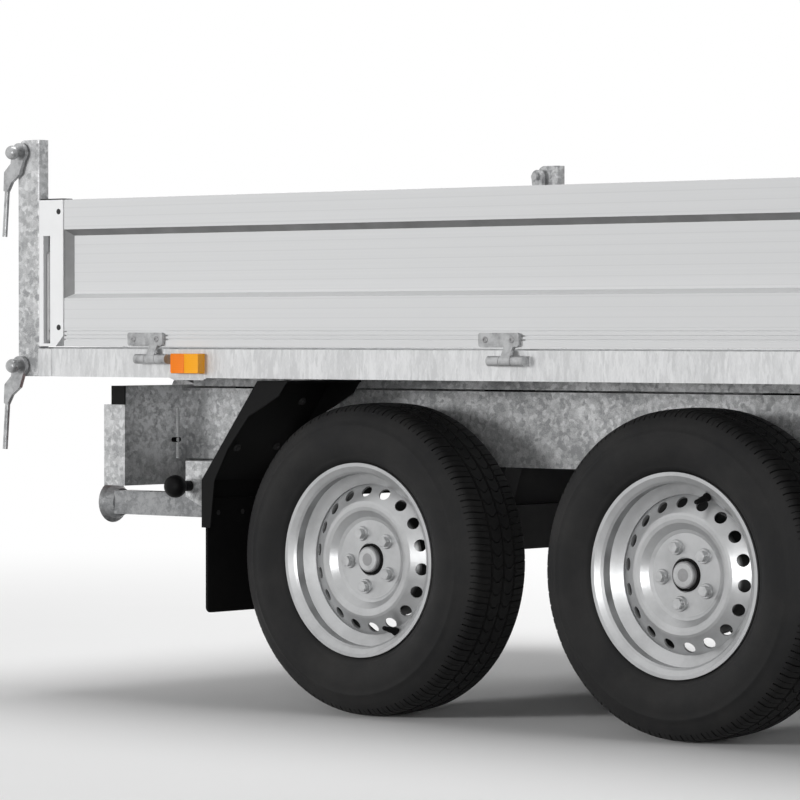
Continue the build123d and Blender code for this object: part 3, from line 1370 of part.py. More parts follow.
def coupling_head():
    """Ball coupling: round nose over the ball socket, shaft clamp behind it and lift handle on top."""
    x_ball = X_NOSE - BALL_SET_BACK
    x_rear = X_NOSE - HEAD_LENGTH
    nose_radius = BALL_SET_BACK
    head = Pos(x_ball, 0, Z_COUPLING) * Sphere(nose_radius)
    head += along_x(SHAFT_CLAMP_RADIUS, (x_rear, x_rear + SHAFT_CLAMP), 0, Z_COUPLING)
    for outline, half in ((HEAD_SIDE, HEAD_HALF), (HANDLE_SIDE, HANDLE_HALF)):
        side = [(x_ball - back, Z_COUPLING + up) for back, up in outline]
        head += extrude_y(side, (-half, half))
    head -= Pos(x_ball, 0, Z_COUPLING) * Sphere(BALL_RADIUS)
    socket = Cylinder(BALL_RADIUS, nose_radius)
    return head - Pos(x_ball, 0, Z_COUPLING - nose_radius / 2) * socket


def handbrake_lever():
    """Parking brake lever with its quadrant on top of the overrun housing."""
    x = X_HOUSING_FRONT - HOUSING_LENGTH + BRAKE_AHEAD
    z = Z_COUPLING + HOUSING_HIGH
    quadrant = [
        (x - QUADRANT_FOOT, z),
        (x + QUADRANT_FOOT, z),
        (x + QUADRANT_TOP, z + QUADRANT_HEIGHT),
        (x - QUADRANT_TOP, z + QUADRANT_HEIGHT),
    ]
    lever = Pos(0, 0, BRAKE_LENGTH / 2) * Box(BRAKE_BAR, BRAKE_BAR_SHEET, BRAKE_LENGTH)
    z_grip = BRAKE_LENGTH - BRAKE_GRIP_OVER + BRAKE_GRIP / 2
    lever += Pos(0, 0, z_grip) * Cylinder(BRAKE_GRIP_RADIUS, BRAKE_GRIP)
    base = extrude_y(quadrant, (-QUADRANT_HALF, QUADRANT_HALF))
    return base + Pos(x, 0, z + BRAKE_PIVOT) * Rot(0, -BRAKE_LEAN, 0) * lever


# Jockey wheel

def jockey_tube():
    """Outer tube in its clamp beside the overrun housing, with the crank on top."""
    length = JOCKEY_TUBE_TOP - JOCKEY_TUBE_BOTTOM
    middle = (JOCKEY_TUBE_TOP + JOCKEY_TUBE_BOTTOM) / 2
    tube = Pos(X_JOCKEY, Y_JOCKEY, middle) * Cylinder(JOCKEY_TUBE_RADIUS, length)
    z_low = Z_COUPLING - JOCKEY_CLAMP_DROP
    clamp_z = (z_low, z_low + JOCKEY_CLAMP_HEIGHT)
    clamp = Cylinder(JOCKEY_TUBE_RADIUS + JOCKEY_CLAMP_WALL, JOCKEY_CLAMP_HEIGHT)
    tube += Pos(X_JOCKEY, Y_JOCKEY, sum(clamp_z) / 2) * clamp
    tube += span((X_JOCKEY - JOCKEY_LUG_HALF, X_JOCKEY + JOCKEY_LUG_HALF), (HOUSING_HALF, Y_JOCKEY), clamp_z)
    bore = JOCKEY_LEG_RADIUS + SEAT_CLEARANCE
    tube -= Pos(X_JOCKEY, Y_JOCKEY, middle - JOCKEY_CAP) * Cylinder(bore, length)
    arm_z = JOCKEY_TUBE_TOP + JOCKEY_CAP
    cap = Cylinder(JOCKEY_CAP_RADIUS, JOCKEY_CAP)
    tube += Pos(X_JOCKEY, Y_JOCKEY, JOCKEY_TUBE_TOP + JOCKEY_CAP / 2) * cap
    half = JOCKEY_CRANK_HALF
    tube += span(
        (X_JOCKEY - half, X_JOCKEY + JOCKEY_CRANK), (Y_JOCKEY - half, Y_JOCKEY + half), (arm_z, arm_z + half)
    )
    grip = Cylinder(JOCKEY_GRIP_RADIUS, JOCKEY_GRIP)
    return tube + Pos(X_JOCKEY + JOCKEY_CRANK - half, Y_JOCKEY, arm_z + half + JOCKEY_GRIP / 2) * grip


def jockey_leg():
    length = JOCKEY_LEG_TOP - JOCKEY_CROWN
    return Pos(X_JOCKEY, Y_JOCKEY, JOCKEY_CROWN + length / 2) * Cylinder(JOCKEY_LEG_RADIUS, length)


def jockey_fork():
    """Swivelling fork under the leg."""
    half = JOCKEY_WHEEL_WIDTH / 2 + FORK_GAP
    x_axle = X_JOCKEY - JOCKEY_TRAIL
    crown = JOCKEY_CROWN - SEAT_CLEARANCE
    z_crown = (crown - FORK_CROWN, crown)
    x_crown = (x_axle - FORK_BACK, X_JOCKEY + FORK_FRONT)
    fork = span(x_crown, (Y_JOCKEY - half - FORK_SHEET, Y_JOCKEY + half + FORK_SHEET), z_crown)
    cheek = [
        (x_axle - FORK_EYE, JOCKEY_WHEEL_RADIUS - FORK_EYE),
        (x_axle + FORK_EYE, JOCKEY_WHEEL_RADIUS - FORK_EYE),
        (x_crown[1], crown),
        (x_crown[0], crown),
    ]
    for low in (Y_JOCKEY - half - FORK_SHEET, Y_JOCKEY + half):
        fork += extrude_y(cheek, (low, low + FORK_SHEET))
    reach = half + FORK_SHEET + FORK_PIN_END
    return fork + along_y(
        JOCKEY_AXLE_RADIUS, x_axle, (Y_JOCKEY - reach, Y_JOCKEY + reach), JOCKEY_WHEEL_RADIUS
    )


def jockey_wheel():
    """Solid rubber wheel with dished sides, bored for the fork's axle."""
    half = JOCKEY_WHEEL_WIDTH / 2
    radius = JOCKEY_WHEEL_RADIUS
    bore = JOCKEY_AXLE_RADIUS + PIN_CLEARANCE
    side = [
        (JOCKEY_HUB_RADIUS, half),
        (JOCKEY_DISH_INNER, half - JOCKEY_DISH),
        (JOCKEY_DISH_OUTER, half - JOCKEY_DISH),
        (JOCKEY_WALL_RADIUS, half - JOCKEY_WALL_INSET),
        (radius - JOCKEY_SHOULDER, half - JOCKEY_WALL_INSET),
        (radius, half - JOCKEY_WALL_INSET - JOCKEY_SHOULDER),
    ]
    section = outline_face(
        [
            (bore, -half),
            *[(distance, -y) for distance, y in side],
            *side[::-1],
            (bore, half),
        ]
    )
    return Pos(X_JOCKEY - JOCKEY_TRAIL, Y_JOCKEY, radius) * revolve(section, Axis.Y, 360)


# Power pack

def pump_span():
    x = (X_BED_FRONT + PUMP_GAP, X_BED_FRONT + PUMP_GAP + PUMP_LENGTH)
    return x, (-PUMP_WIDTH / 2, PUMP_WIDTH / 2)


def pump_box():
    """Power pack housing on the drawbar with its overhanging lid."""
    x, y = pump_span()
    top = PUMP_BOTTOM + PUMP_HEIGHT
    box = span(x, y, (PUMP_BOTTOM, top - PUMP_LID))
    box = fillet(box.edges().filter_by(Axis.Z), PUMP_RADIUS)
    over = PUMP_OVERHANG
    lid = span((x[0] - over, x[1] + over), (y[0] - over, y[1] + over), (top - PUMP_LID, top))
    lid = fillet(lid.edges().filter_by(Axis.Z), PUMP_RADIUS + over)
    return box + fillet(lid.faces().sort_by(Axis.Z)[-1].edges(), PUMP_RADIUS / 2)


def pump_bars():
    """Cross bars that carry the power pack on the drawbar arms."""
    arms = both_sides(drawbar_arm)
    x, _ = pump_span()
    bars = []
    for x_bar in (x[0] + PUMP_BAR, x[1] - 2 * PUMP_BAR):
        share = (x_bar + PUMP_BAR / 2 - X_FRONT_MEMBER) / (X_ARM_FRONT - X_FRONT_MEMBER)
        reach = ARM_REAR_Y + share * (ARM_FRONT_Y - ARM_REAR_Y)
        z_arm = ARM_REAR_Z + share * (Z_COUPLING - ARM_REAR_Z) + ARM_TUBE_HEIGHT / 2
        reach += PUMP_BAR_END
        bar = span((x_bar, x_bar + PUMP_BAR), (-reach, reach), (z_arm - PUMP_BAR_SEAT, PUMP_BOTTOM))
        bars.append(bar - arms)
    return solids_of(bars)


def parts():
    """Every node of the trailer by name."""
    made = {
        "main_beams": solids_of(both_sides(main_beam)),
        "cross_members": cross_members(),
        "light_beam": light_beam(),
        "tube_end_caps": solids_of(tube_end_caps()),
        "tip_brackets": solids_of(tip_brackets()),
        "bed_buffers": bed_buffers(),
        "tail_lamps": solids_of(tail_lamps()),
        "axle_tubes": axle_tubes(),
        "swing_arms": swing_arms(),
        "mudguards": mudguards(),
        "mud_flaps": solids_of(mud_flaps()),
        "leg_brackets": solids_of(both_sides(leg_bracket)),
        "leg_knobs": solids_of(both_sides(leg_knob)),
        "drawbar": solids_of(both_sides(drawbar_arm)),
        "overrun_housing": overrun_housing(),
        "drawbar_gaiter": drawbar_gaiter(),
        "coupling_head": coupling_head(),
        "handbrake_lever": handbrake_lever(),
        "jockey_tube": jockey_tube(),
        "jockey_leg": jockey_leg(),
        "jockey_fork": jockey_fork(),
        "jockey_wheel": jockey_wheel(),
        "pump_bars": pump_bars(),
        "pump_box": pump_box(),
        "bed_rails": bed_rails(),
        "bed_bearers": bed_bearers(),
        "bed_runners": solids_of(both_sides(bed_runner)),
        "bed_floor": bed_floor(),
        "rear_posts": solids_of(both_sides(rear_post)),
        "front_posts": solids_of(both_sides(front_post)),
        "front_board": front_board(),
        "hinge_knuckles": hinge_knuckles(),
        "marker_lamps": marker_lamps(),
        "post_latches": solids_of(post_latches()),
        "tailgate_panel": tailgate_panel(),
        "tailgate_arms": solids_of(both_sides(tailgate_arm)),
        "ram_barrel": ram_barrel(),
    }
    for stage in range(1, RAM_STAGES + 1):
        made[f"ram_stage_{stage}"] = ram_stage(stage)
    side_parts = {
        "dropside": dropside_panel(),
        "dropside_locks": dropside_locks(),
        "dropside_hinges": hinge_straps(),
        "stabiliser_leg": stabiliser_leg(),
    }
    for name, left in side_parts.items():
        made[f"{name}_left"] = left
        made[f"{name}_right"] = other_side(left)
    made.update(wheel_parts())
    return made


def main():
    os.makedirs("parts", exist_ok=True)
    for name, shape in parts().items():
        export_step(shape, f"parts/{name}.step")


if __name__ == "__main__":
    main()
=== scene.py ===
import json
import math

import bmesh
import bpy
from mathutils import Matrix, Vector


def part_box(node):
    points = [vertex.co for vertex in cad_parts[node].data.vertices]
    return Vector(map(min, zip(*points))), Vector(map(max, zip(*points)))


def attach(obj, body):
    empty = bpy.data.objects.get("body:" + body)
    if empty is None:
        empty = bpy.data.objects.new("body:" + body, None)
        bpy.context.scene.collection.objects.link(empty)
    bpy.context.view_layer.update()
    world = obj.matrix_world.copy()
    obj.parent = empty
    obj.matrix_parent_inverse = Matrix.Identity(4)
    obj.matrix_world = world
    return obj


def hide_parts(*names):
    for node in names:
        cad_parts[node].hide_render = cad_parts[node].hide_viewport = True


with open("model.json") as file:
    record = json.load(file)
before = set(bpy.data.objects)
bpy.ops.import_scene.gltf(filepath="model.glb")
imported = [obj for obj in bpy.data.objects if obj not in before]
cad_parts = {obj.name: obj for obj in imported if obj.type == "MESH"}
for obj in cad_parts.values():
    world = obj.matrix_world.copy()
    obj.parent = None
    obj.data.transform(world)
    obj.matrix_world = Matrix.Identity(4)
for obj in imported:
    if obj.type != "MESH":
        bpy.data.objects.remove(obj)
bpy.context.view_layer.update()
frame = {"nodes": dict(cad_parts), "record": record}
LOW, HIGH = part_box("tyre_rear_right")
REAR_AXLE = (LOW.x + HIGH.x) / 2

bl_info = {
    "name": "Tipper Trailer Dressing",
    "version": (1, 0, 0),
    "blender": (4, 5, 0),
    "location": "View3D > Sidebar > Trailer",
    "description": "Dresses the tandem tipper trailer with tyres, fittings and finishes",
    "category": "Add Mesh",
}

SIDES = {"right": -1.0, "left": 1.0}
AXLES = ("front", "rear")
WHEELS = [(axle, side, axle + "_" + side) for axle in AXLES for side in SIDES]
FORWARDS = (1.0, 0.0, 0.0)
BACKWARDS = (-1.0, 0.0, 0.0)
TURN = 2.0 * math.pi


def tint_of(name, description, default):
    """A colour that a user may change."""
    return bpy.props.FloatVectorProperty(
        name=name, description=description, subtype="COLOR", size=4, min=0.0, max=1.0, default=default)


def length_of(name, description, default, low=0.0005, high=0.5):
    """A length that a user may change."""
    return bpy.props.FloatProperty(
        name=name, description=description, subtype="DISTANCE", unit="LENGTH",
        min=low, max=high, default=default)


def power_of(name, description, default):
    """A lamp's power that a user may change."""
    return bpy.props.FloatProperty(
        name=name, description=description, unit="POWER", min=0.0, default=default)


class TrailerFinishes(bpy.types.PropertyGroup):
    """Colours of the trailer's metals, plastics and rubbers."""

    zinc_light: tint_of("Zinc light", "Bright crystals of the hot-dip zinc", (0.66, 0.665, 0.67, 1.0))
    zinc_dark: tint_of("Zinc dark", "Dull crystals of the hot-dip zinc", (0.30, 0.305, 0.31, 1.0))
    rail_light: tint_of("Rail light", "Bright runs of zinc on the bed rails", (0.72, 0.725, 0.73, 1.0))
    rail_dark: tint_of("Rail dark", "Dull runs of zinc on the bed rails", (0.58, 0.585, 0.59, 1.0))
    floor_light: tint_of("Floor light", "Bright crystals of the bed floor", (0.58, 0.585, 0.59, 1.0))
    floor_dark: tint_of("Floor dark", "Dull crystals of the bed floor", (0.44, 0.445, 0.45, 1.0))
    leg_light: tint_of("Leg light", "Bright zinc of the legs and lock backs", (0.34, 0.345, 0.35, 1.0))
    leg_dark: tint_of("Leg dark", "Dull zinc of the legs and lock backs", (0.20, 0.205, 0.21, 1.0))
    panel_metal: tint_of("Panel metal", "Anodised aluminium of the sides", (0.655, 0.66, 0.665, 1.0))
    lock_metal: tint_of("Lock metal", "Bright end plates of the sides", (0.80, 0.805, 0.81, 1.0))
    wheel_paint: tint_of("Wheel paint", "Silver paint of the wheel rims", (0.50, 0.505, 0.51, 1.0))
    tyre_black: tint_of("Tyre black", "Tyre rubber", (0.012, 0.012, 0.0124, 1.0))
    guard_black: tint_of("Guard black", "Moulded plastic of the mudguards", (0.004, 0.004, 0.0042, 1.0))
    lens_amber: tint_of("Lens amber", "Reflector half of a side marker", (0.91, 0.216, 0.004, 1.0))
    lens_yellow: tint_of("Lens yellow", "Lamp half of a side marker", (0.96, 0.40, 0.006, 1.0))
    lens_red: tint_of("Lens red", "Tail lamp lens", (0.45, 0.012, 0.012, 1.0))
    lens_clear: tint_of("Lens clear", "Reversing lamp lens", (0.75, 0.75, 0.74, 1.0))
    spangle: length_of("Spangle", "Width of a zinc crystal", 0.009, 0.002, 0.1)
    panel_line: length_of("Panel line", "Pitch of the extrusion lines along the sides", 0.0195, 0.002, 0.2)


class TrailerTyres(bpy.types.PropertyGroup):
    """Tread of the road tyres."""

    pitches: bpy.props.IntProperty(
        name="Pitches", description="Tread blocks round the tyre", min=24, max=120, default=76)
    slot_share: bpy.props.FloatProperty(
        name="Slot share", description="Share of a pitch that is slot",
        subtype="FACTOR", min=0.05, max=0.5, default=0.12)
    sipe_share: bpy.props.FloatProperty(
        name="Sipe share", description="Share of a pitch that is the fine cut in a shoulder block",
        subtype="FACTOR", min=0.01, max=0.2, default=0.05)
    groove_depth: length_of("Groove depth", "Depth of the grooves and slots", 0.006, 0.001, 0.012)


class TrailerFittings(bpy.types.PropertyGroup):
    """Fasteners and small fittings."""

    wheel_bolt: length_of("Wheel bolt", "Corner radius of a wheel bolt's head", 0.0112, 0.008, 0.02)
    guard_bolt: length_of("Guard bolt", "Corner radius of a mudguard bolt's head", 0.0065, 0.004, 0.02)
    rivet: length_of("Rivet", "Radius of a rivet in the sides' end plates", 0.006, 0.002, 0.02)
    hinge_screw: length_of("Hinge screw", "Radius of a screw in a hinge plate", 0.0065, 0.002, 0.02)
    floor_screw: length_of("Floor screw", "Radius of a screw in the bed floor", 0.006, 0.002, 0.02)
    weld: length_of("Weld", "Width of a weld bead", 0.009, 0.003, 0.03)
    lever_height: length_of("Lever height", "Height of the lever in a side lock", 0.190, 0.05, 0.22)
    lever_width: length_of("Lever width", "Width of the lever in a side lock", 0.0165, 0.005, 0.019)


class TrailerStage(bpy.types.PropertyGroup):
    """Camera, floor and lamps."""

    camera_place: bpy.props.FloatVectorProperty(
        name="Camera place", description="Where the camera stands", subtype="TRANSLATION",
        unit="LENGTH", size=3, default=(REAR_AXLE + 5.3196, -6.8552, 0.7741))
    camera_turn: bpy.props.FloatProperty(
        name="Camera turn", description="Turn of the view from straight across the trailer",
        subtype="ANGLE", unit="ROTATION", default=math.radians(40.874))
    camera_dip: bpy.props.FloatProperty(
        name="Camera dip", description="How far the view looks down",
        subtype="ANGLE", unit="ROTATION", default=math.radians(0.99))
    lens: bpy.props.FloatProperty(
        name="Lens", description="Focal length in millimetres on a 36 mm sensor",
        min=20.0, max=400.0, default=180.6)
    floor_white: tint_of("Floor", "Pale floor", (0.88, 0.88, 0.88, 1.0))
    floor_bounce: tint_of("Floor bounce", "How pale the floor is to the light that it throws back",
                          (0.12, 0.12, 0.12, 1.0))
    key_power: power_of("Key power", "Lamp on the near side, towards the rear", 520.0)
    front_power: power_of("Front power", "Broad lamp beside the camera", 110.0)
    far_power: power_of("Far power", "Broad lamp across the far side", 420.0)
    top_power: power_of("Top power", "Broad lamp overhead", 360.0)
    sky: bpy.props.FloatProperty(
        name="Sky", description="Strength of the even light all round", subtype="FACTOR",
        min=0.0, max=1.0, default=0.16)


def settings(part):
    """One of the trailer's groups of sizes and colours."""
    return getattr(bpy.context.scene, "trailer_" + part)


# Modelling by hand


def deselect():
    if bpy.context.object and bpy.context.object.mode != "OBJECT":
        bpy.ops.object.mode_set(mode="OBJECT")
    bpy.ops.object.select_all(action="DESELECT")


def start_chain(name, points, closed=False):
    """A new piece in edit mode: one vertex led through the points."""
    deselect()
    bpy.context.tool_settings.mesh_select_mode = (True, False, False)
    bpy.ops.mesh.primitive_plane_add(size=0.01, location=(0.0, 0.0, 0.0))
    piece = bpy.context.object
    piece.name = name
    piece.data.name = name
    bpy.ops.object.mode_set(mode="EDIT")
    bpy.ops.mesh.select_all(action="SELECT")
    bpy.ops.mesh.merge(type="CENTER")
    bpy.ops.transform.translate(value=points[0])
    for before, after in zip(points, points[1:]):
        step = Vector(after) - Vector(before)
        bpy.ops.mesh.extrude_vertices_move(TRANSFORM_OT_translate={"value": step})
    bpy.ops.mesh.select_all(action="SELECT")
    if closed:
        bpy.ops.mesh.edge_face_add()
    return piece


def hold(piece):
    """Makes one piece the selected and active one."""
    deselect()
    piece.select_set(True)
    bpy.context.view_layer.objects.active = piece


def end_piece(piece, smooth=30.0):
    """Back to object mode with doubles merged, normals outwards and soft shading below an angle."""
    bpy.ops.mesh.select_all(action="SELECT")
    bpy.ops.mesh.remove_doubles(threshold=1e-5)
    bpy.ops.mesh.normals_make_consistent(inside=False)
    bpy.ops.object.mode_set(mode="OBJECT")
    bpy.ops.object.shade_smooth_by_angle(angle=math.radians(smooth))
    return piece


def pick(piece, test):
    """Selects the faces whose centre and normal pass the test."""
    mesh = bmesh.from_edit_mesh(piece.data)
    bpy.context.tool_settings.mesh_select_mode = (False, False, True)
    found = 0
    for face in mesh.faces:
        face.select_set(test(face.calc_center_median(), face.normal))
        found += face.select
    mesh.select_flush_mode()
    bmesh.update_edit_mesh(piece.data)
    if not found:
        raise RuntimeError(piece.name + ": no face found to shape")


def twin(piece, name, change):
    """A copy with its own mesh, put in place by a matrix."""
    hold(piece)
    bpy.ops.object.duplicate()
    copy = bpy.context.object
    copy.name = name
    copy.data.name = name
    copy.matrix_world = change
    bpy.ops.object.transform_apply(location=True, rotation=True, scale=True)
    return copy


def merge(name, pieces):
    """Several pieces joined into one."""
    hold(pieces[0])
    for piece in pieces[1:]:
        piece.select_set(True)
    if len(pieces) > 1:
        bpy.ops.object.join()
    whole = bpy.context.object
    whole.name = name
    whole.data.name = name
    return whole


def scatter(pattern, name, places, keep=False):
    """A copy of the pattern at each place, joined into one piece."""
    whole = merge(name, [twin(pattern, name, place) for place in places])
    if not keep:
        discard(pattern)
    return whole


def facing(place, out, roll=0.0):
    """Puts a pattern that was made looking up at a place, looking outwards."""
    turn = Vector(out).to_track_quat("Z", "Y").to_matrix().to_4x4()
    return Matrix.Translation(place) @ turn @ Matrix.Rotation(roll, 4, "Z")


def soften(piece, width, steps=2, sharp=40.0):
    """Rounds the edges that are sharper than an angle."""
    hold(piece)
    rounding = piece.modifiers.new("rounding", "BEVEL")
    rounding.width = width
    rounding.segments = steps
    rounding.limit_method = "ANGLE"
    rounding.angle_limit = math.radians(sharp)
    bpy.ops.object.modifier_apply(modifier=rounding.name)
    bpy.ops.object.shade_smooth_by_angle(angle=math.radians(sharp))
    return piece


def lathe(name, outline, steps=24, smooth=30.0):
    """Turned piece round Z from an outline of radius and height."""
    start = start_chain(name, [(radius, 0.0, height) for radius, height in outline])
    bpy.ops.mesh.spin(steps=steps, angle=TURN, center=(0, 0, 0), axis=(0, 0, 1))
    return end_piece(start, smooth)


def block(name, outline, height, rounding=0.0, pocket=None):
    """Flat outline raised along Z; a pocket is the width of the rim left round it and its depth."""
    piece = start_chain(name, [(x, y, 0.0) for x, y in outline], closed=True)
    bpy.ops.mesh.extrude_region_move(TRANSFORM_OT_translate={"value": (0, 0, height)})
    if pocket:
        bpy.ops.mesh.select_all(action="SELECT")
        bpy.ops.mesh.normals_make_consistent(inside=False)
        pick(piece, lambda centre, normal: centre.z > 0.9 * height and normal.z > 0.9)
        bpy.ops.mesh.inset(thickness=pocket[0])
        bpy.ops.transform.translate(value=(0, 0, -pocket[1]))
    end_piece(piece)
    return soften(piece, rounding) if rounding else piece


def ring_of(count, radius, start=0.0):
    """Points evenly round a circle."""
    turns = [start + TURN * index / count for index in range(count)]
    return [(radius * math.cos(turn), radius * math.sin(turn)) for turn in turns]


def rounded(width, height, radius, steps=4):
    """Outline of a rectangle with round corners."""
    points = []
    for quarter, (across, up) in enumerate(((1, 1), (-1, 1), (-1, -1), (1, -1))):
        x, y = across * (width / 2 - radius), up * (height / 2 - radius)
        for step in range(steps + 1):
            turn = (quarter + step / steps) * TURN / 4
            points.append((x + radius * math.cos(turn), y + radius * math.sin(turn)))
    return points


def bolt_pattern(name, radius, height, collar, seat):
    """Six-sided bolt head with a turned collar under it."""
    head = block(name, ring_of(6, radius), height, radius * 0.16)
    washer = lathe(name, [(radius * 0.5, 0.0), (collar, 0.0), (collar, seat * 0.5), (collar * 0.9, seat),
                          (radius * 0.5, seat)])
    return merge(name, [head, washer])


def button_pattern(name, radius, height, slot=True):
    """Low round head with a dimple in its middle, as a rivet or a socket screw has."""
    outline = [(radius, 0.0), (radius, height * 0.35), (radius * 0.86, height * 0.75), (radius * 0.6, height)]
    if slot:
        outline += [(radius * 0.42, height), (radius * 0.36, height * 0.45)]
    return lathe(name, outline + [(0.0, outline[-1][1])], 16)


def finish_piece(piece, body, finish):
    """Gives a new piece its finish and the body that it rides on."""
    piece.data.materials.clear()
    piece.data.materials.append(FINISHES[finish])
    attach(piece, body)
    return piece


def lay(pattern, name, places, body, finish, keep=False):
    """Copies of a pattern as one finished piece on a body."""
    finish_piece(scatter(pattern, name, places, keep), body, finish)


def discard(*patterns):
    """Deletes patterns that have been copied."""
    for pattern in patterns:
        bpy.data.objects.remove(pattern)


def middle_of(name):
    """Middle of a node's box."""
    low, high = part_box(name)
    return (low + high) / 2


def side_of(name, out):
    """Outermost Y of a node, on one side of the trailer."""
    low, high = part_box(name)
    return high.y if out > 0 else low.y


# Shader groups


def new_group(name, inputs, outputs):
    """An empty shader group with its sockets: inputs are (name, kind, default), outputs (name, kind)."""
    group = bpy.data.node_groups.new(name, "ShaderNodeTree")
    for title, kind, value in inputs:
        socket = group.interface.new_socket(title, in_out="INPUT", socket_type="NodeSocket" + kind)
        socket.default_value = value
    for title, kind in outputs:
        group.interface.new_socket(title, in_out="OUTPUT", socket_type="NodeSocket" + kind)
    return group, group.nodes.new("NodeGroupInput"), group.nodes.new("NodeGroupOutput")


def node(tree, kind, links=None, **values):
    """A shader node with its settings; links name an input and the socket that feeds it."""
    made = tree.nodes.new("ShaderNode" + kind)
    for key, value in values.items():
        setattr(made, key, value)
    for key, source in (links or {}).items():
        socket = made.inputs[key]
        if isinstance(source, bpy.types.NodeSocket):
            tree.links.new(source, socket)
        else:
            socket.default_value = source
    return made


def worked(tree, operation, *terms):
    """Result of a Math node on one to three terms."""
    return node(tree, "Math", dict(enumerate(terms)), operation=operation).outputs[0]


def ranged(tree, value, before=(0.0, 1.0), after=(0.0, 1.0)):
    """A value stretched from one range onto another."""
    return node(tree, "MapRange", {"Value": value, "From Min": before[0], "From Max": before[1],
                                   "To Min": after[0], "To Max": after[1]}).outputs[0]


def noise(tree, place, scale, detail, roughness=0.5):
    """Cloudy value between zero and one."""
    return node(tree, "TexNoise", {"Vector": place, "Scale": scale, "Detail": detail,
                                   "Roughness": roughness}).outputs[0]


def here(tree):
    """Place on the piece, in metres."""
    return node(tree, "TexCoord").outputs["Object"]


def blended(tree, mask, first, second):
    """Colour between two, by a mask."""
    return node(tree, "Mix", {"Factor": mask, 6: first, 7: second}, data_type="RGBA").outputs[2]


def scaled(colour, share):
    """A darker shade of a colour."""
    return tuple(share * value for value in tuple(colour)[:3]) + (1.0,)


def feed(tree, target, **sources):
    """Links each source to the input that it is named for."""
    for name, source in sources.items():
        tree.links.new(source, target.inputs[name.replace("_", " ")])


def use_group(tree, group, **links):
    """Outputs of a shader group placed in a material; the links name its inputs."""
    return node(tree, "Group", links, node_tree=group).outputs


def zinc_spangle():
    """Crystals of hot-dip zinc that run into each other, under clouds of white bloom."""
    group, into, out = new_group(
        "zinc_spangle",
        [("Light", "Color", (0.6, 0.6, 0.6, 1)), ("Dark", "Color", (0.3, 0.3, 0.3, 1)),
         ("Crystal", "Float", 80.0), ("Stretch", "Vector", (1.0, 1.0, 1.0)), ("Cloud", "Float", 5.0)],
        [("Color", "Color"), ("Roughness", "Float"), ("Height", "Float")])
    given = into.outputs
    place = node(group, "VectorMath", {0: here(group), 1: given["Stretch"]}, operation="MULTIPLY").outputs[0]
    warp = node(group, "TexNoise", {"Vector": place, "Scale": 55.0, "Detail": 5.0, "Roughness": 0.6})
    bent = node(group, "VectorMath", {0: warp.outputs["Color"], 1: (0.022, 0.022, 0.022), 2: place},
                operation="MULTIPLY_ADD").outputs[0]
    cells = node(group, "TexVoronoi", {"Vector": bent, "Scale": given["Crystal"], "Smoothness": 0.55},
                 feature="SMOOTH_F1")
    cloud = noise(group, place, given["Cloud"], 8.0, 0.68)
    fine = noise(group, place, 420.0, 3.0)
    grey = node(group, "RGBToBW", {0: cells.outputs["Color"]}).outputs[0]
    grained = worked(group, "MULTIPLY_ADD", fine, 0.8, worked(group, "MULTIPLY", grey, 0.7))
    whole = worked(group, "MULTIPLY_ADD", cloud, 1.5, grained)
    mask = ranged(group, whole, (1.2, 1.8))
    feed(group, out, Color=blended(group, mask, given["Dark"], given["Light"]),
         Roughness=ranged(group, mask, after=(0.52, 0.36)), Height=whole)
    return group


def road_dust():
    """Cloudy mask of dust and scuffs."""
    group, into, out = new_group("road_dust", [("Scale", "Float", 6.0), ("Amount", "Float", 0.5)],
                                 [("Mask", "Float"), ("Grain", "Float")])
    place = here(group)
    raised = ranged(group, noise(group, place, into.outputs["Scale"], 7.0, 0.65), (0.42, 0.78))
    feed(group, out, Mask=worked(group, "MULTIPLY", raised, into.outputs["Amount"]),
         Grain=noise(group, place, 900.0, 2.0))
    return group


def drawn_lines():
    """Fine lines that a die leaves along a drawn profile, level along the trailer and across it."""
    group, into, out = new_group("drawn_lines", [("Pitch", "Float", 0.0195)],
                                 [("Line", "Float"), ("Streak", "Float")])
    place = here(group)
    up = node(group, "SeparateXYZ", {0: place}).outputs["Z"]
    share = worked(group, "FRACT", worked(group, "DIVIDE", up, into.outputs["Pitch"]))
    edge = worked(group, "ABSOLUTE", worked(group, "SUBTRACT", share, 0.5))
    flat = node(group, "Mapping", {"Vector": place, "Scale": (0.6, 0.6, 260.0)}).outputs[0]
    feed(group, out, Line=ranged(group, edge, (0.42, 0.49)), Streak=noise(group, flat, 1.0, 3.0))
    return group


def hollow_film():
    """Painted shade in the pressed corners: dark grey on faces that turn down under an overhang and on faces
    that turn sideways beside a recess, found by their normal.
    """
    group, into, out = new_group("hollow_film", [("Amount", "Float", 1.0)], [("Mask", "Float")])
    place = node(group, "TexCoord")
    axes = node(group, "SeparateXYZ", {0: place.outputs["Normal"]}).outputs
    under = worked(group, "MULTIPLY", axes["Z"], -1.0)
    turned = worked(group, "MAXIMUM", worked(group, "ABSOLUTE", axes["X"]), under)
    sloped = worked(group, "MULTIPLY", turned, worked(group, "ABSOLUTE", axes["Y"]))
    hollow_shade = ranged(group, sloped, (0.2, 0.42))
    uneven = ranged(group, noise(group, place.outputs["Object"], 18.0, 4.0), after=(0.8, 1.05))
    patchy = worked(group, "MULTIPLY", hollow_shade, uneven)
    feed(group, out, Mask=worked(group, "MULTIPLY", patchy, into.outputs["Amount"]))
    return group


def brake_dust():
    """Brake soot and painted shade behind the wheel's disc: dark on faces nearer the trailer's middle than
    the plane.
    """
    group, into, out = new_group("brake_dust", [("Plane", "Float", 0.7)], [("Mask", "Float")])
    place = here(group)
    across = worked(group, "ABSOLUTE", node(group, "SeparateXYZ", {0: place}).outputs["Y"])
    behind = ranged(group, worked(group, "SUBTRACT", into.outputs["Plane"], across), (-0.002, 0.003))
    uneven = ranged(group, noise(group, place, 30.0, 4.0), after=(0.9, 1.0))
    feed(group, out, Mask=worked(group, "MULTIPLY", behind, uneven))
    return group
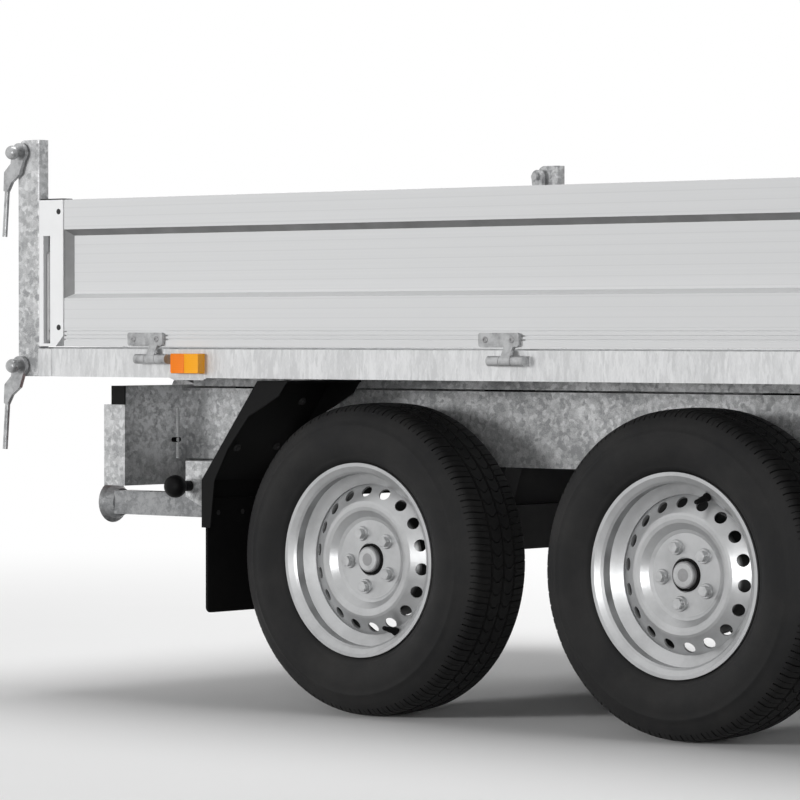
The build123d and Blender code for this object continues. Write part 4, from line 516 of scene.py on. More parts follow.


# Finishes

# Grey of the painted shade on faces that turn down or sideways in the pressed corners, and how strongly it
# shows.
HOLLOW_SHADE_GREY = (0.06, 0.06, 0.06, 1.0)
HOLLOW_SHADE_AMOUNT = 0.85
# Near black of the brake soot and painted shade behind the wheel's disc.
SOOT_AND_SHADE = (0.012, 0.0115, 0.011, 1.0)
DISC_BACK = 0.022
GRAIN_DEPTH = 0.0005
ZINC_DEPTH = 0.0006
PRISM_DEPTH = 0.0006
LINE_DEPTH = 0.0004
RAIL_STRETCH = (1.6, 1.6, 0.35)
DUST_GREY = (0.05, 0.048, 0.045, 1.0)
BLACK_DUST = (0.07, 0.066, 0.062, 1.0)
STEEL = (0.54, 0.545, 0.55, 1.0)
DULL_STEEL = (0.32, 0.322, 0.325, 1.0)


def new_material(name, **values):
    """A material with one Principled shader and its plain socket values."""
    material = bpy.data.materials.new(name)
    material.use_nodes = True
    tree = material.node_tree
    tree.nodes.clear()
    shader = node(tree, "BsdfPrincipled", {key.replace("_", " "): value for key, value in values.items()})
    node(tree, "OutputMaterial", {"Surface": shader.outputs[0]})
    return material, tree, shader


def surface(tree, shader, colour, rough, height, strength, distance):
    """Feeds a shader its colour, its roughness and the height of its bumps."""
    raised = node(tree, "Bump", {"Height": height, "Strength": strength, "Distance": distance})
    feed(tree, shader, Base_Color=colour, Roughness=rough, Normal=raised.outputs[0])


def galvanised(groups, name, light, dark, stretch=(1.0, 1.0, 1.0)):
    """Hot-dip zinc."""
    material, tree, shader = new_material(name, Metallic=0.45, Specular_IOR_Level=0.35)
    zinc = use_group(tree, groups["zinc"], Light=tuple(light), Dark=tuple(dark), Stretch=stretch,
                     Crystal=1.0 / settings("finishes").spangle)
    surface(tree, shader, zinc["Color"], zinc["Roughness"], zinc["Height"], 0.2, ZINC_DEPTH)
    return material


def with_hollow_shade(tree, groups, colour):
    """A colour darkened by the painted shade of the pressed corners."""
    hollow_shade = use_group(tree, groups["hollow_shade"], Amount=HOLLOW_SHADE_AMOUNT)
    return blended(tree, hollow_shade["Mask"], colour, HOLLOW_SHADE_GREY)


def satin_plate(groups):
    """Bright end plate of a side, with painted shade where it turns into the recess."""
    bright = tuple(settings("finishes").lock_metal)
    material, tree, shader = new_material("satin_plate", Metallic=0.1, Specular_IOR_Level=0.25)
    dust = use_group(tree, groups["dust"], Scale=14.0, Amount=0.5)
    plate = blended(tree, dust["Mask"], bright, scaled(bright, 0.9))
    surface(tree, shader, with_hollow_shade(tree, groups, plate), ranged(tree, dust["Grain"], after=(0.36, 0.5)),
            dust["Grain"], 0.06, GRAIN_DEPTH)
    return material


def anodised(groups):
    """Drawn aluminium of the sides, with its lines and painted shade in the corners."""
    looks = settings("finishes")
    bright = tuple(looks.panel_metal)
    material, tree, shader = new_material("anodised_panel", Metallic=0.1, Specular_IOR_Level=0.2)
    lines = use_group(tree, groups["lines"], Pitch=looks.panel_line)
    dust = use_group(tree, groups["dust"], Scale=2.5, Amount=0.35)
    base = blended(tree, lines["Streak"], scaled(bright, 0.93), bright)
    cloudy = blended(tree, dust["Mask"], base, scaled(bright, 0.94))
    lined = blended(tree, lines["Line"], cloudy, scaled(bright, 0.9))
    surface(tree, shader, with_hollow_shade(tree, groups, lined), ranged(tree, lines["Streak"], after=(0.38, 0.52)),
            lines["Streak"], 0.12, LINE_DEPTH)
    return material


def dusted(groups, name, colour, dusty, rough, scale, amount, grain, soot_and_shade=False, **values):
    """Painted, plated, plastic or rubber finish with dust clouds and a fine grain."""
    material, tree, shader = new_material(name, **values)
    dust = use_group(tree, groups["dust"], Scale=scale, Amount=amount)
    tint = blended(tree, dust["Mask"], tuple(colour), dusty)
    # Brake soot and painted shade darken the faces behind the wheel's disc.
    if soot_and_shade:
        plane = abs(middle_of("rim_rear_right").y) + DISC_BACK
        tint = blended(tree, use_group(tree, groups["soot_and_shade"], Plane=plane)["Mask"], tint, SOOT_AND_SHADE)
    surface(tree, shader, tint, ranged(tree, dust["Grain"], after=rough), dust["Grain"], grain, GRAIN_DEPTH)
    return material


def lens(groups, name, colour):
    """Moulded lamp glass with a fine grid of prisms behind a clear face."""
    material, tree, shader = new_material(name, Coat_Weight=0.25, Coat_Roughness=0.08, Specular_IOR_Level=0.2)
    prisms = node(tree, "TexVoronoi", {"Vector": here(tree), "Scale": 260.0, "Randomness": 0.12},
                  feature="F1", distance="CHEBYCHEV").outputs["Distance"]
    dust = use_group(tree, groups["dust"], Scale=25.0, Amount=0.4)
    facet = ranged(tree, prisms, (0.0, 0.6), (0.0, 0.45))
    cut = blended(tree, facet, tuple(colour), scaled(colour, 0.72))
    tint = blended(tree, dust["Mask"], cut, scaled(colour, 0.85))
    surface(tree, shader, tint, ranged(tree, dust["Grain"], after=(0.14, 0.26)), prisms, 0.15, PRISM_DEPTH)
    return material


def make_finishes():
    """Every finish by name; the record's slots come first."""
    looks = settings("finishes")
    groups = {"zinc": zinc_spangle(), "dust": road_dust(), "lines": drawn_lines(), "hollow_shade": hollow_film(),
              "soot_and_shade": brake_dust()}
    black, paint = looks.guard_black, looks.wheel_paint
    return {
        "galvanised": galvanised(groups, "galvanised", looks.zinc_light, looks.zinc_dark),
        "aluminium": anodised(groups),
        "black_plastic": dusted(groups, "moulded_black", black, DUST_GREY, (0.42, 0.6), 5.0, 0.06, 0.3,
                                Specular_IOR_Level=0.12),
        "rubber": dusted(groups, "soft_rubber", black, DUST_GREY, (0.6, 0.8), 6.0, 0.1, 0.3,
                         Specular_IOR_Level=0.1),
        "tyre": dusted(groups, "tyre_rubber", looks.tyre_black, DUST_GREY, (0.5, 0.72), 7.0, 0.3, 0.35,
                       Specular_IOR_Level=0.2),
        "rim_silver": dusted(groups, "wheel_paint", paint, scaled(paint, 0.7), (0.26, 0.4), 11.0, 0.9, 0.1,
                             soot_and_shade=True, Metallic=0.7, Specular_IOR_Level=0.4),
        "hub_steel": dusted(groups, "plated_steel", STEEL, DULL_STEEL, (0.28, 0.44), 30.0, 0.8, 0.1,
                            Metallic=0.6),
        "drum_steel": dusted(groups, "drum_steel", STEEL, DULL_STEEL, (0.28, 0.44), 30.0, 0.8, 0.1,
                             soot_and_shade=True, Metallic=0.6),
        "amber_lamp": lens(groups, "amber_lens", looks.lens_amber),
        "red_lamp": lens(groups, "red_lens", looks.lens_red),
        "cast_black": dusted(groups, "cast_black", (0.022, 0.022, 0.023, 1.0), BLACK_DUST, (0.4, 0.6), 12.0,
                             0.3, 0.5, Specular_IOR_Level=0.3),
        "ram_black": dusted(groups, "gloss_black", (0.02, 0.02, 0.021, 1.0), BLACK_DUST, (0.22, 0.36), 8.0,
                            0.25, 0.1, Coat_Weight=0.3),
        "ram_chrome": dusted(groups, "polished_chrome", (0.74, 0.74, 0.75, 1.0), (0.6, 0.6, 0.6, 1.0),
                             (0.07, 0.14), 12.0, 0.3, 0.03, Metallic=1.0),
        "rail_zinc": galvanised(groups, "rail_zinc", looks.rail_light, looks.rail_dark, RAIL_STRETCH),
        "floor_zinc": galvanised(groups, "floor_zinc", looks.floor_light, looks.floor_dark),
        "leg_zinc": galvanised(groups, "leg_zinc", looks.leg_light, looks.leg_dark),
        "lock_metal": satin_plate(groups),
        "plate_white": dusted(groups, "plate_white", (0.74, 0.74, 0.73, 1.0), (0.6, 0.59, 0.57, 1.0),
                              (0.3, 0.45), 9.0, 0.4, 0.05),
        "plated": dusted(groups, "plated_fitting", (0.46, 0.465, 0.47, 1.0), (0.12, 0.122, 0.125, 1.0),
                         (0.24, 0.4), 40.0, 0.9, 0.2, Metallic=0.5),
        "lever_metal": dusted(groups, "lever_metal", (0.33, 0.33, 0.335, 1.0), (0.2, 0.2, 0.2, 1.0),
                              (0.34, 0.5), 30.0, 0.6, 0.15, Metallic=0.4),
        "amber_lamp_bright": lens(groups, "yellow_lens", looks.lens_yellow),
        "clear_lamp": lens(groups, "clear_lens", looks.lens_clear),
    }


FINISHES = {}

# Solids whose finish isn't the plain one of their slot in the record.
OWN_FINISH = {
    "bed_rails": "rail_zinc",
    "bed_floor": "floor_zinc",
    "hinge_knuckles": "plated",
    "post_latches": "plated",
    "marker_lamps": "amber_lamp_bright",
    # The near black of the axle tubes stands partly for their black paint and partly for painted shade under
    # the bed between the wheels.
    "axle_tubes": "cast_black",
}
OWN_FINISH.update({"stabiliser_leg_" + side: "leg_zinc" for side in SIDES})
OWN_FINISH.update({"dropside_locks_" + side: "lock_metal" for side in SIDES})
OWN_FINISH.update({"dropside_hinges_" + side: "plated" for side in SIDES})
OWN_FINISH.update({"hub_" + wheel: "drum_steel" for _, _, wheel in WHEELS})


class TRAILER_OT_finishes(bpy.types.Operator):
    """Gives every solid of the frame its finish"""

    bl_idname = "trailer.finishes"
    bl_label = "Finishes"

    def execute(self, context):
        FINISHES.update(make_finishes())
        for part in frame["record"]["subparts"]:
            solid = frame["nodes"][part["node"]]
            solid.data.materials.clear()
            solid.data.materials.append(FINISHES[OWN_FINISH.get(part["node"], part["material_slot"])])
        return {"FINISHED"}


# Tyres

# Half section from the bead to the middle of the tread: radius and distance from the wheel's
# middle in metres, and how far the point leads round the tyre as a share of a tread pitch.
TYRE_HALF = (
    (0.1785, 0.0670, 0.0), (0.1860, 0.0692, 0.0), (0.1945, 0.0725, 0.0), (0.1985, 0.0790, 0.0),
    (0.2030, 0.0838, 0.0), (0.2065, 0.0872, 0.0), (0.2095, 0.0880, 0.0), (0.2125, 0.0902, 0.0),
    (0.2220, 0.0955, 0.0), (0.2340, 0.0992, 0.0), (0.2450, 0.1004, 0.0), (0.2560, 0.0997, 0.0),
    (0.2660, 0.0974, 0.0), (0.2680, 0.0980, 0.0), (0.2715, 0.0970, 0.0), (0.2730, 0.0954, 0.0),
    (0.2820, 0.0922, 0.0), (0.2910, 0.0880, 0.0), (0.2985, 0.0832, 0.0), (0.3045, 0.0776, 0.0),
    (0.3090, 0.0710, 0.05), (0.3115, 0.0630, 0.1), (0.3128, 0.0500, 0.15), (0.3134, 0.0380, 0.2),
    (0.3136, 0.0310, 0.2), (0.3140, 0.0220, 0.55), (0.3143, 0.0130, 0.55), (0.3145, 0.0035, 0.2),
)
SHOULDER_EDGE = 0.0810
SHOULDER_RIB = 0.0380
MIDDLE_RIB = 0.0310
MIDDLE_GROOVE = 0.0035
TREAD_FROM = 0.29
TYRE_TURN = {"rear": 0.4, "front": 1.1}


def tread_lead(y):
    """Lead round the tyre, as a share of a pitch, at a distance from the wheel's middle."""
    y = abs(y)
    for (_, outer, lead), (_, inner, after) in zip(TYRE_HALF, TYRE_HALF[1:]):
        if inner <= y <= outer:
            return lead + (after - lead) * (outer - y) / (outer - inner)
    return TYRE_HALF[-1][2] if y < TYRE_HALF[-1][1] else 0.0


def model_tyre(name):
    """One tyre at the origin, axle along Y: half sections spun pitch by pitch, then grooves cut in."""
    tread = settings("tyres")
    pitch = TURN / tread.pitches
    slot = tread.slot_share * pitch
    profile = list(TYRE_HALF) + [(r, -y, lead) for r, y, lead in reversed(TYRE_HALF)]
    points = [(r * math.sin(lead * pitch), y, r * math.cos(lead * pitch)) for r, y, lead in profile]
    piece = start_chain(name, points)
    sipe = tread.sipe_share * pitch
    land = (pitch - slot - sipe) / 2
    for angle in (slot, land, sipe, land):
        bpy.ops.mesh.spin(steps=1, angle=angle, center=(0, 0, 0), axis=(0, 1, 0))
    bpy.ops.mesh.select_all(action="SELECT")
    bpy.ops.mesh.spin(steps=tread.pitches - 1, dupli=True, angle=TURN - pitch, center=(0, 0, 0),
                      axis=(0, 1, 0))
    bpy.ops.mesh.select_all(action="SELECT")
    bpy.ops.mesh.remove_doubles(threshold=2e-5)
    bpy.ops.mesh.normals_make_consistent(inside=False)

    def is_groove(centre, normal):
        across = abs(centre.y)
        if math.hypot(centre.x, centre.z) < TREAD_FROM:
            return False
        if across < MIDDLE_GROOVE or MIDDLE_RIB < across < SHOULDER_RIB:
            return True
        if across > SHOULDER_EDGE:
            return False
        turned = (tread_lead(across) - math.atan2(centre.x, centre.z) / pitch) % 1.0
        if turned < tread.slot_share:
            return True
        in_sipe = abs(turned - tread.slot_share - (land + sipe / 2) / pitch) < tread.sipe_share / 2
        return in_sipe and across > SHOULDER_RIB

    pick(piece, is_groove)
    bpy.ops.mesh.extrude_region_shrink_fatten(
        TRANSFORM_OT_shrink_fatten={"value": -tread.groove_depth})
    return end_piece(piece, 35.0)


class TRAILER_OT_tyres(bpy.types.Operator):
    """Models one road tyre and puts a copy on each wheel"""

    bl_idname = "trailer.tyres"
    bl_label = "Tyres"

    def execute(self, context):
        pattern = model_tyre("tyre_pattern")
        for axle, _, wheel in WHEELS:
            solid = "tyre_" + wheel
            turn = Matrix.Rotation(TYRE_TURN[axle], 4, "Y")
            tyre = twin(pattern, "road_" + solid, Matrix.Translation(middle_of(solid)) @ turn)
            finish_piece(tyre, "wheel_" + wheel, "tyre")
            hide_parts(solid)
        discard(pattern)
        return {"FINISHED"}


# Wheel fittings: heights run outwards from the wheel's middle plane.

BOLT_COUNT = 5
BOLT_START = math.radians(113.4)
BOLT_CIRCLE = 0.056
BOLT_ROLL = 0.3
BOLT_HEIGHT, BOLT_COLLAR, BOLT_SEAT = 0.0158, 0.0148, 0.0055
DISC_FACE = 0.039
BOLT_FOOT = DISC_FACE - 0.0003
CAP_FOOT = DISC_FACE - 0.001
SEAL_FOOT = DISC_FACE - 0.002
VALVE_FOOT = 0.041
VALVE_LEAN = 0.3
VALVES = {"rear": (0.158, math.radians(-64.0)), "front": (0.157, math.radians(71.0))}
CAP_OUTLINE = ((0.0256, 0.0), (0.0258, 0.0085), (0.0246, 0.0112), (0.0215, 0.0120), (0.0190, 0.0112),
               (0.0172, 0.0114), (0.0080, 0.0126), (0.0, 0.0128))
SEAL_OUTLINE = ((0.0262, 0.0), (0.0262, 0.003), (0.0285, 0.0042), (0.0318, 0.003), (0.0318, 0.0))
VALVE_OUTLINE = ((0.0085, 0.0), (0.0085, 0.004), (0.0062, 0.009), (0.0056, 0.021), (0.0046, 0.023),
                 (0.0046, 0.033), (0.0034, 0.0355), (0.0, 0.0355))


def on_wheel(hub, out, height, radius=0.0, turn=0.0):
    """Place on a wheel, from the middle of its rim."""
    return hub + Vector((radius * math.cos(turn), out * height, radius * math.sin(turn)))


class TRAILER_OT_wheel_fittings(bpy.types.Operator):
    """Puts bolts, a grease cap, its seal ring and a valve on each wheel"""

    bl_idname = "trailer.wheel_fittings"
    bl_label = "Wheel fittings"

    def execute(self, context):
        bolt = bolt_pattern("bolt_pattern", settings("fittings").wheel_bolt, BOLT_HEIGHT, BOLT_COLLAR,
                            BOLT_SEAT)
        cap = lathe("cap_pattern", CAP_OUTLINE, 40)
        seal = lathe("seal_pattern", SEAL_OUTLINE, 40)
        valve = lathe("valve_pattern", VALVE_OUTLINE, 16)
        for axle, side, wheel in WHEELS:
            body, out = "wheel_" + wheel, SIDES[side]
            hub = middle_of("rim_" + wheel)
            outwards = (0.0, out, 0.0)
            bolts = []
            for index in range(BOLT_COUNT):
                turn = BOLT_START + TURN * index / BOLT_COUNT
                place = on_wheel(hub, out, BOLT_FOOT, BOLT_CIRCLE, turn)
                bolts.append(facing(place, outwards, BOLT_ROLL * index))
            lay(bolt, "wheel_bolts_" + wheel, bolts, body, "hub_steel", keep=True)
            place = facing(on_wheel(hub, out, CAP_FOOT), outwards)
            lay(cap, "grease_cap_" + wheel, [place], body, "lever_metal", keep=True)
            place = facing(on_wheel(hub, out, SEAL_FOOT), outwards)
            lay(seal, "cap_seal_" + wheel, [place], body, "rubber", keep=True)
            radius, turn = VALVES[axle]
            lean = (-VALVE_LEAN * math.cos(turn), out, -VALVE_LEAN * math.sin(turn))
            place = facing(on_wheel(hub, out, VALVE_FOOT, radius, turn), lean)
            lay(valve, "valve_" + wheel, [place], body, "rubber", keep=True)
        discard(bolt, cap, seal, valve)
        return {"FINISHED"}


# Side fittings: places in from a lock's end, down from its face and up from its foot.

LOCK_SLOT = 0.023
LOCK_SLOT_FOOT = 0.006
LEVER_GAP = 0.004
LEVER_DEPTH = 0.0162
LEVER_SHEET, LEVER_POCKET, LEVER_ROUNDING = 0.008, 0.0035, 0.0008
STUD_HEIGHT, STUD_FOOT = 0.003, 0.005
# Back plate deep in each lock slot: a dark sheet that stands in for the slot's shade, painted shade.
BACK_WIDTH, BACK_HEIGHT, BACK_SHEET = 0.0194, 0.2272, 0.0012
BACK_RISE = 0.114
BACK_DEPTH = 0.0163
LOCK_CAP_LENGTH, LOCK_CAP_WIDTH, LOCK_CAP_HEIGHT = 0.070, 0.030, 0.003
LOCK_CAP_IN = 0.036
LOCK_CAP_DEPTH = 0.016
LOCK_CAP_SINK = 0.0003
RIVET_IN = 0.059
RIVET_RISE, RIVET_DROP = 0.040, 0.025
RIVET_HEIGHT = 0.0022
RIVET_SINK = 0.0002
HINGE_END = 0.045
HINGE_BACK = 0.026
HINGE_PLATE = 0.0078
HINGE_SCREW_HALF = 0.033
HINGE_SCREW_RISE = 0.0155
HINGE_SCREW_HEIGHT = 0.0028


def hinge_places():
    """Places of the hinges along the trailer."""
    low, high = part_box("hinge_knuckles")
    return low.x + HINGE_END, (low.x + high.x) / 2, high.x - HINGE_END


def lever_pattern(name, width, height):
    """Pressed lever with a channel down its face and a pivot stud near its foot."""
    lever = block(name, rounded(width, height, width * 0.3), LEVER_SHEET, LEVER_ROUNDING,
                  pocket=(width * 0.22, LEVER_POCKET))
    stud = button_pattern(name, width * 0.3, STUD_HEIGHT)
    stud = scatter(stud, name, [Matrix.Translation((0.0, -0.38 * height, STUD_FOOT))])
    return merge(name, [lever, stud])


class TRAILER_OT_side_fittings(bpy.types.Operator):
    """Puts levers, back plates dark enough to paint the shade in the lock slots, caps and rivets in the side
    locks and screws in the hinge plates
    """

    bl_idname = "trailer.side_fittings"
    bl_label = "Side fittings"

    def execute(self, context):
        sizes = settings("fittings")
        lever = lever_pattern("lever_pattern", sizes.lever_width, sizes.lever_height)
        rivet = button_pattern("rivet_pattern", sizes.rivet, RIVET_HEIGHT, slot=False)
        screw = button_pattern("screw_pattern", sizes.hinge_screw, HINGE_SCREW_HEIGHT)
        back = block("back_pattern", rounded(BACK_WIDTH, BACK_HEIGHT, 0.0012), BACK_SHEET, 0.0003)
        cap = block("cap_pattern", rounded(LOCK_CAP_LENGTH, LOCK_CAP_WIDTH, 0.003), LOCK_CAP_HEIGHT, 0.0008)
        for side, out in SIDES.items():
            self.locks(side, out, lever, rivet, back, cap)
            self.hinges(side, out, screw)
        discard(lever, rivet, screw, back, cap)
        return {"FINISHED"}

    def locks(self, side, out, lever, rivet, back, cap):
        body, lock = "dropside_" + side, "dropside_locks_" + side
        low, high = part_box(lock)
        face = side_of(lock, out)
        outwards = (0.0, out, 0.0)
        foot = low.z + LOCK_SLOT_FOOT
        levers, rivets, backs, caps = [], [], [], []
        for end, inwards in ((low.x, 1.0), (high.x, -1.0)):
            slot = end + inwards * LOCK_SLOT
            up = foot + LEVER_GAP + settings("fittings").lever_height / 2
            levers.append(facing((slot, face - out * LEVER_DEPTH, up), outwards))
            backs.append(facing((slot, face - out * BACK_DEPTH, foot + BACK_RISE), outwards))
            place = (end + inwards * LOCK_CAP_IN, face - out * LOCK_CAP_DEPTH, high.z - LOCK_CAP_SINK)
            caps.append(Matrix.Translation(place))
            for up in (low.z + RIVET_RISE, high.z - RIVET_DROP):
                rivets.append(facing((end + inwards * RIVET_IN, face - out * RIVET_SINK, up), outwards))
        lay(lever, "lock_levers_" + side, levers, body, "lever_metal", keep=True)
        lay(rivet, "lock_rivets_" + side, rivets, body, "cast_black", keep=True)
        # The back plates' dark zinc is painted shade in the lock slots.
        lay(back, "lock_backs_" + side, backs, body, "leg_zinc", keep=True)
        lay(cap, "lock_caps_" + side, caps, body, "black_plastic", keep=True)

    def hinges(self, side, out, screw):
        body = "dropside_" + side
        skin = side_of(body, out) + out * HINGE_PLATE
        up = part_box(body)[0].z + HINGE_SCREW_RISE
        screws = [facing((hinge - HINGE_BACK + along, skin, up), (0.0, out, 0.0))
                  for hinge in hinge_places() for along in (-HINGE_SCREW_HALF, HINGE_SCREW_HALF)]
        lay(screw, "hinge_screws_" + side, screws, body, "lever_metal", keep=True)


# Rail fittings

SLEEVE_LENGTH = 0.040
SLEEVE_MARGIN = 0.002
SLEEVE_SHEET = 0.0016
SLEEVE_SINK = 0.0001
TAB_FROM, TAB_TO = REAR_AXLE - 0.468, REAR_AXLE - 0.360
TAB_SLOPE, TAB_DROP, TAB_WIDTH = 0.012, 0.005, 0.032
TAB_IN = 0.003
TAB_SINK = 0.0002


class TRAILER_OT_rail_fittings(bpy.types.Operator):
    """Puts corner sleeves on the bed rails and a cable tab under each"""

    bl_idname = "trailer.rail_fittings"
    bl_label = "Rail fittings"

    def execute(self, context):
        low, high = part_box("bed_rails")
        tall = high.z - low.z
        sleeve = block("sleeve_pattern", rounded(SLEEVE_LENGTH, tall - SLEEVE_MARGIN, 0.002), SLEEVE_SHEET,
                       0.0005)
        tab = block("tab_pattern", [(TAB_FROM, 0.0), (TAB_TO, 0.0), (TAB_TO - TAB_SLOPE, -TAB_DROP),
                                    (TAB_FROM + TAB_SLOPE, -TAB_DROP)], TAB_WIDTH, 0.0008)
        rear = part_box("rear_posts")[1].x + SLEEVE_LENGTH / 2
        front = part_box("front_posts")[0].x - SLEEVE_LENGTH / 2
        sleeves, tabs = [], []
        for out in SIDES.values():
            skin = side_of("bed_rails", out)
            for along in (rear, front):
                place = (along, skin - out * SLEEVE_SINK, low.z + tall / 2)
                sleeves.append(facing(place, (0.0, out, 0.0)))
            across = skin - TAB_IN if out > 0 else skin + TAB_IN + TAB_WIDTH
            stand = Matrix.Translation((0.0, across, low.z + TAB_SINK))
            tabs.append(stand @ Matrix.Rotation(TURN / 4, 4, "X"))
        lay(sleeve, "rail_sleeves", sleeves, "bed", "rail_zinc")
        lay(tab, "rail_tabs", tabs, "bed", "rail_zinc")
        return {"FINISHED"}


# Lamps

MARKER_HALF = 0.040
MARKER_LENS = (0.0385, 0.0395, 0.0028)
MARKER_LENS_SINK = 0.0022
TAIL_MARGIN = 0.012
TAIL_SINK = 0.002
# Name, finish, slot, width and place in from the lamp's outer end.
TAIL_FIELDS = (
    ("indicator", "amber_lamp", "amber_lamp", 0.062, 0.036),
    ("stop", "red_lamp", "red_lamp", 0.082, 0.1115),
    ("reverse", "clear_lamp", "amber_lamp", 0.056, 0.184),
)


class TRAILER_OT_lamps(bpy.types.Operator):
    """Puts lenses on the side markers and tail lamps"""

    bl_idname = "trailer.lamps"
    bl_label = "Lamps"

    def execute(self, context):
        self.markers()
        self.tails()
        return {"FINISHED"}

    def markers(self):
        low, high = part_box("marker_lamps")
        up = (low.z + high.z) / 2
        half = block("half_pattern", rounded(*MARKER_LENS), 0.0032, 0.0007, pocket=(0.0026, 0.0008))
        reflectors, lamps = [], []
        for out in SIDES.values():
            face = side_of("marker_lamps", out) - out * MARKER_LENS_SINK
            for middle in (low.x + MARKER_HALF, high.x - MARKER_HALF):
                for row, along in ((reflectors, middle - MARKER_HALF / 2), (lamps, middle + MARKER_HALF / 2)):
                    row.append(facing((along, face, up), (0.0, out, 0.0)))
        lay(half, "marker_reflectors", reflectors, "bed", "amber_lamp", keep=True)
        lay(half, "marker_lenses", lamps, "bed", "amber_lamp_bright")

    def tails(self):
        low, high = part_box("tail_lamps")
        tall = high.z - low.z - TAIL_MARGIN
        up = (low.z + high.z) / 2
        for name, finish, slot, width, place in TAIL_FIELDS:
            glass = block(name, rounded(width, tall, 0.006), 0.006, 0.0015, pocket=(0.004, 0.0012))
            places = [facing((low.x + TAIL_SINK, side_of("tail_lamps", out) - out * place, up), BACKWARDS)
                      for out in SIDES.values()]
            lay(glass, "tail_" + name, places, "chassis", finish)


# Mudguard bolts: the guard's rear run goes up and forwards from its foot behind the rear axle.

GUARD_FOOT = (-0.405, 0.466)
GUARD_RUN = (0.157, 0.206)
GUARD_SHEET = 0.0042
GUARD_BOLT_ROWS = (0.700, 0.820)
GUARD_BOLT_SHARES = (0.34, 0.80)
GUARD_BOLT_HEIGHT, GUARD_BOLT_COLLAR, GUARD_BOLT_SEAT = 0.006, 0.009, 0.002
FLAP_BOLT_ROWS = (0.680, 0.753, 0.826)
FLAP_BOLT_UP = 0.398


class TRAILER_OT_guard_bolts(bpy.types.Operator):
    """Puts bolts through the mudguards and flaps"""

    bl_idname = "trailer.guard_bolts"
    bl_label = "Mudguard bolts"

    def execute(self, context):
        bolt = bolt_pattern("guard_bolt_pattern", settings("fittings").guard_bolt, GUARD_BOLT_HEIGHT,
                            GUARD_BOLT_COLLAR, GUARD_BOLT_SEAT)
        slope = math.hypot(*GUARD_RUN)
        inward = Vector((GUARD_RUN[1] / slope, 0.0, -GUARD_RUN[0] / slope))
        foot = REAR_AXLE + GUARD_FOOT[0]
        places = []
        for out in SIDES.values():
            for row in GUARD_BOLT_ROWS:
                for share in GUARD_BOLT_SHARES:
                    spot = (foot + share * GUARD_RUN[0], out * row, GUARD_FOOT[1] + share * GUARD_RUN[1])
                    places.append(facing(Vector(spot) + GUARD_SHEET * inward, inward))
            for row in FLAP_BOLT_ROWS:
                places.append(facing((foot + GUARD_SHEET, out * row, FLAP_BOLT_UP), FORWARDS))
        lay(bolt, "guard_bolts", places, "chassis", "cast_black")
        return {"FINISHED"}


# Welds

BEAM_WELD, BEAM_WELD_FOOT = 0.110, 0.502
AXLE_WELD, AXLE_WELD_FROM, AXLE_WELD_IN = 0.130, 0.059, 0.004
GROMMET_OUT, GROMMET_UP, GROMMET_SINK = 0.645, 0.540, 0.0004


def bead_pattern(name, length, width):
    """Rippled weld bead lying along X: one ripple turned, then repeated along the joint."""
    step = width * 0.45
    ripple = lathe(name, [(0.0, -0.32 * width), (width * 0.4, -0.24 * width), (width * 0.5, 0.0),
                          (width * 0.4, 0.24 * width), (0.0, 0.32 * width)], 10, 60.0)
    ripple = scatter(ripple, name, [Matrix.Rotation(TURN / 4, 4, "Y")])
    hold(ripple)
    row = ripple.modifiers.new("row", "ARRAY")
    row.count = max(2, int(length / step))
    row.use_relative_offset = False
    row.use_constant_offset = True
    row.constant_offset_displace = (step, 0.0, 0.0)
    bpy.ops.object.modifier_apply(modifier=row.name)
    return ripple


class TRAILER_OT_welds(bpy.types.Operator):
    """Lays weld beads where the beams meet and sets a cable grommet in the light beam"""

    bl_idname = "trailer.welds"
    bl_label = "Welds"

    def execute(self, context):
        width = settings("fittings").weld
        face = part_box("light_beam")[1].x
        low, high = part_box("main_beams")
        standing = bead_pattern("standing_pattern", BEAM_WELD, width)
        upright = Matrix.Rotation(-TURN / 4, 4, "Y")
        places = [Matrix.Translation((face, out * high.y, BEAM_WELD_FOOT)) @ upright
                  for out in SIDES.values()]
        lay(standing, "beam_welds", places, "chassis", "rail_zinc")
        lying = bead_pattern("lying_pattern", AXLE_WELD, width)
        places = []
        for axle in AXLES:
            along = middle_of("tyre_%s_right" % axle).x + AXLE_WELD_FROM
            for out in SIDES.values():
                places.append(Matrix.Translation((along, out * (high.y - AXLE_WELD_IN), low.z)))
        lay(lying, "axle_welds", places, "chassis", "galvanised")
        grommet = block("grommet_pattern", rounded(0.026, 0.010, 0.0049, 6), 0.004, 0.0012,
                        pocket=(0.003, 0.003))
        places = [facing((face - GROMMET_SINK, out * GROMMET_OUT, GROMMET_UP), FORWARDS)
                  for out in SIDES.values()]
        lay(grommet, "cable_grommets", places, "chassis", "rubber")
        return {"FINISHED"}


# Floor screws

FLOOR_MARGIN = 0.12
FLOOR_SCREW_HEIGHT = 0.0016
FLOOR_SCREW_SINK = 0.0002


class TRAILER_OT_floor_screws(bpy.types.Operator):
    """Screws the bed floor to its bearers"""

    bl_idname = "trailer.floor_screws"
    bl_label = "Floor screws"

    rows: bpy.props.IntProperty(
        name="Rows", description="Screws across the floor", min=2, max=20, default=8)
    lines: bpy.props.IntProperty(
        name="Lines", description="Rows of screws along it", min=2, max=20, default=7)

    def execute(self, context):
        low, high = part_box("bed_floor")
        screw = button_pattern("floor_screw_pattern", settings("fittings").floor_screw, FLOOR_SCREW_HEIGHT)
        long, wide = (high.x - low.x - 2 * FLOOR_MARGIN), (high.y - low.y - 2 * FLOOR_MARGIN)
        places = []
        for line in range(self.lines):
            along = low.x + FLOOR_MARGIN + long * line / (self.lines - 1)
            for row in range(self.rows):
                across = low.y + FLOOR_MARGIN + wide * row / (self.rows - 1)
                places.append(Matrix.Translation((along, across, high.z - FLOOR_SCREW_SINK)))
        lay(screw, "floor_screws", places, "bed", "plated")
        return {"FINISHED"}


# Rear plate

PLATE_UP = 0.462
HOLDER_SINK = 0.0004
PLATE_PROUD = 0.0068


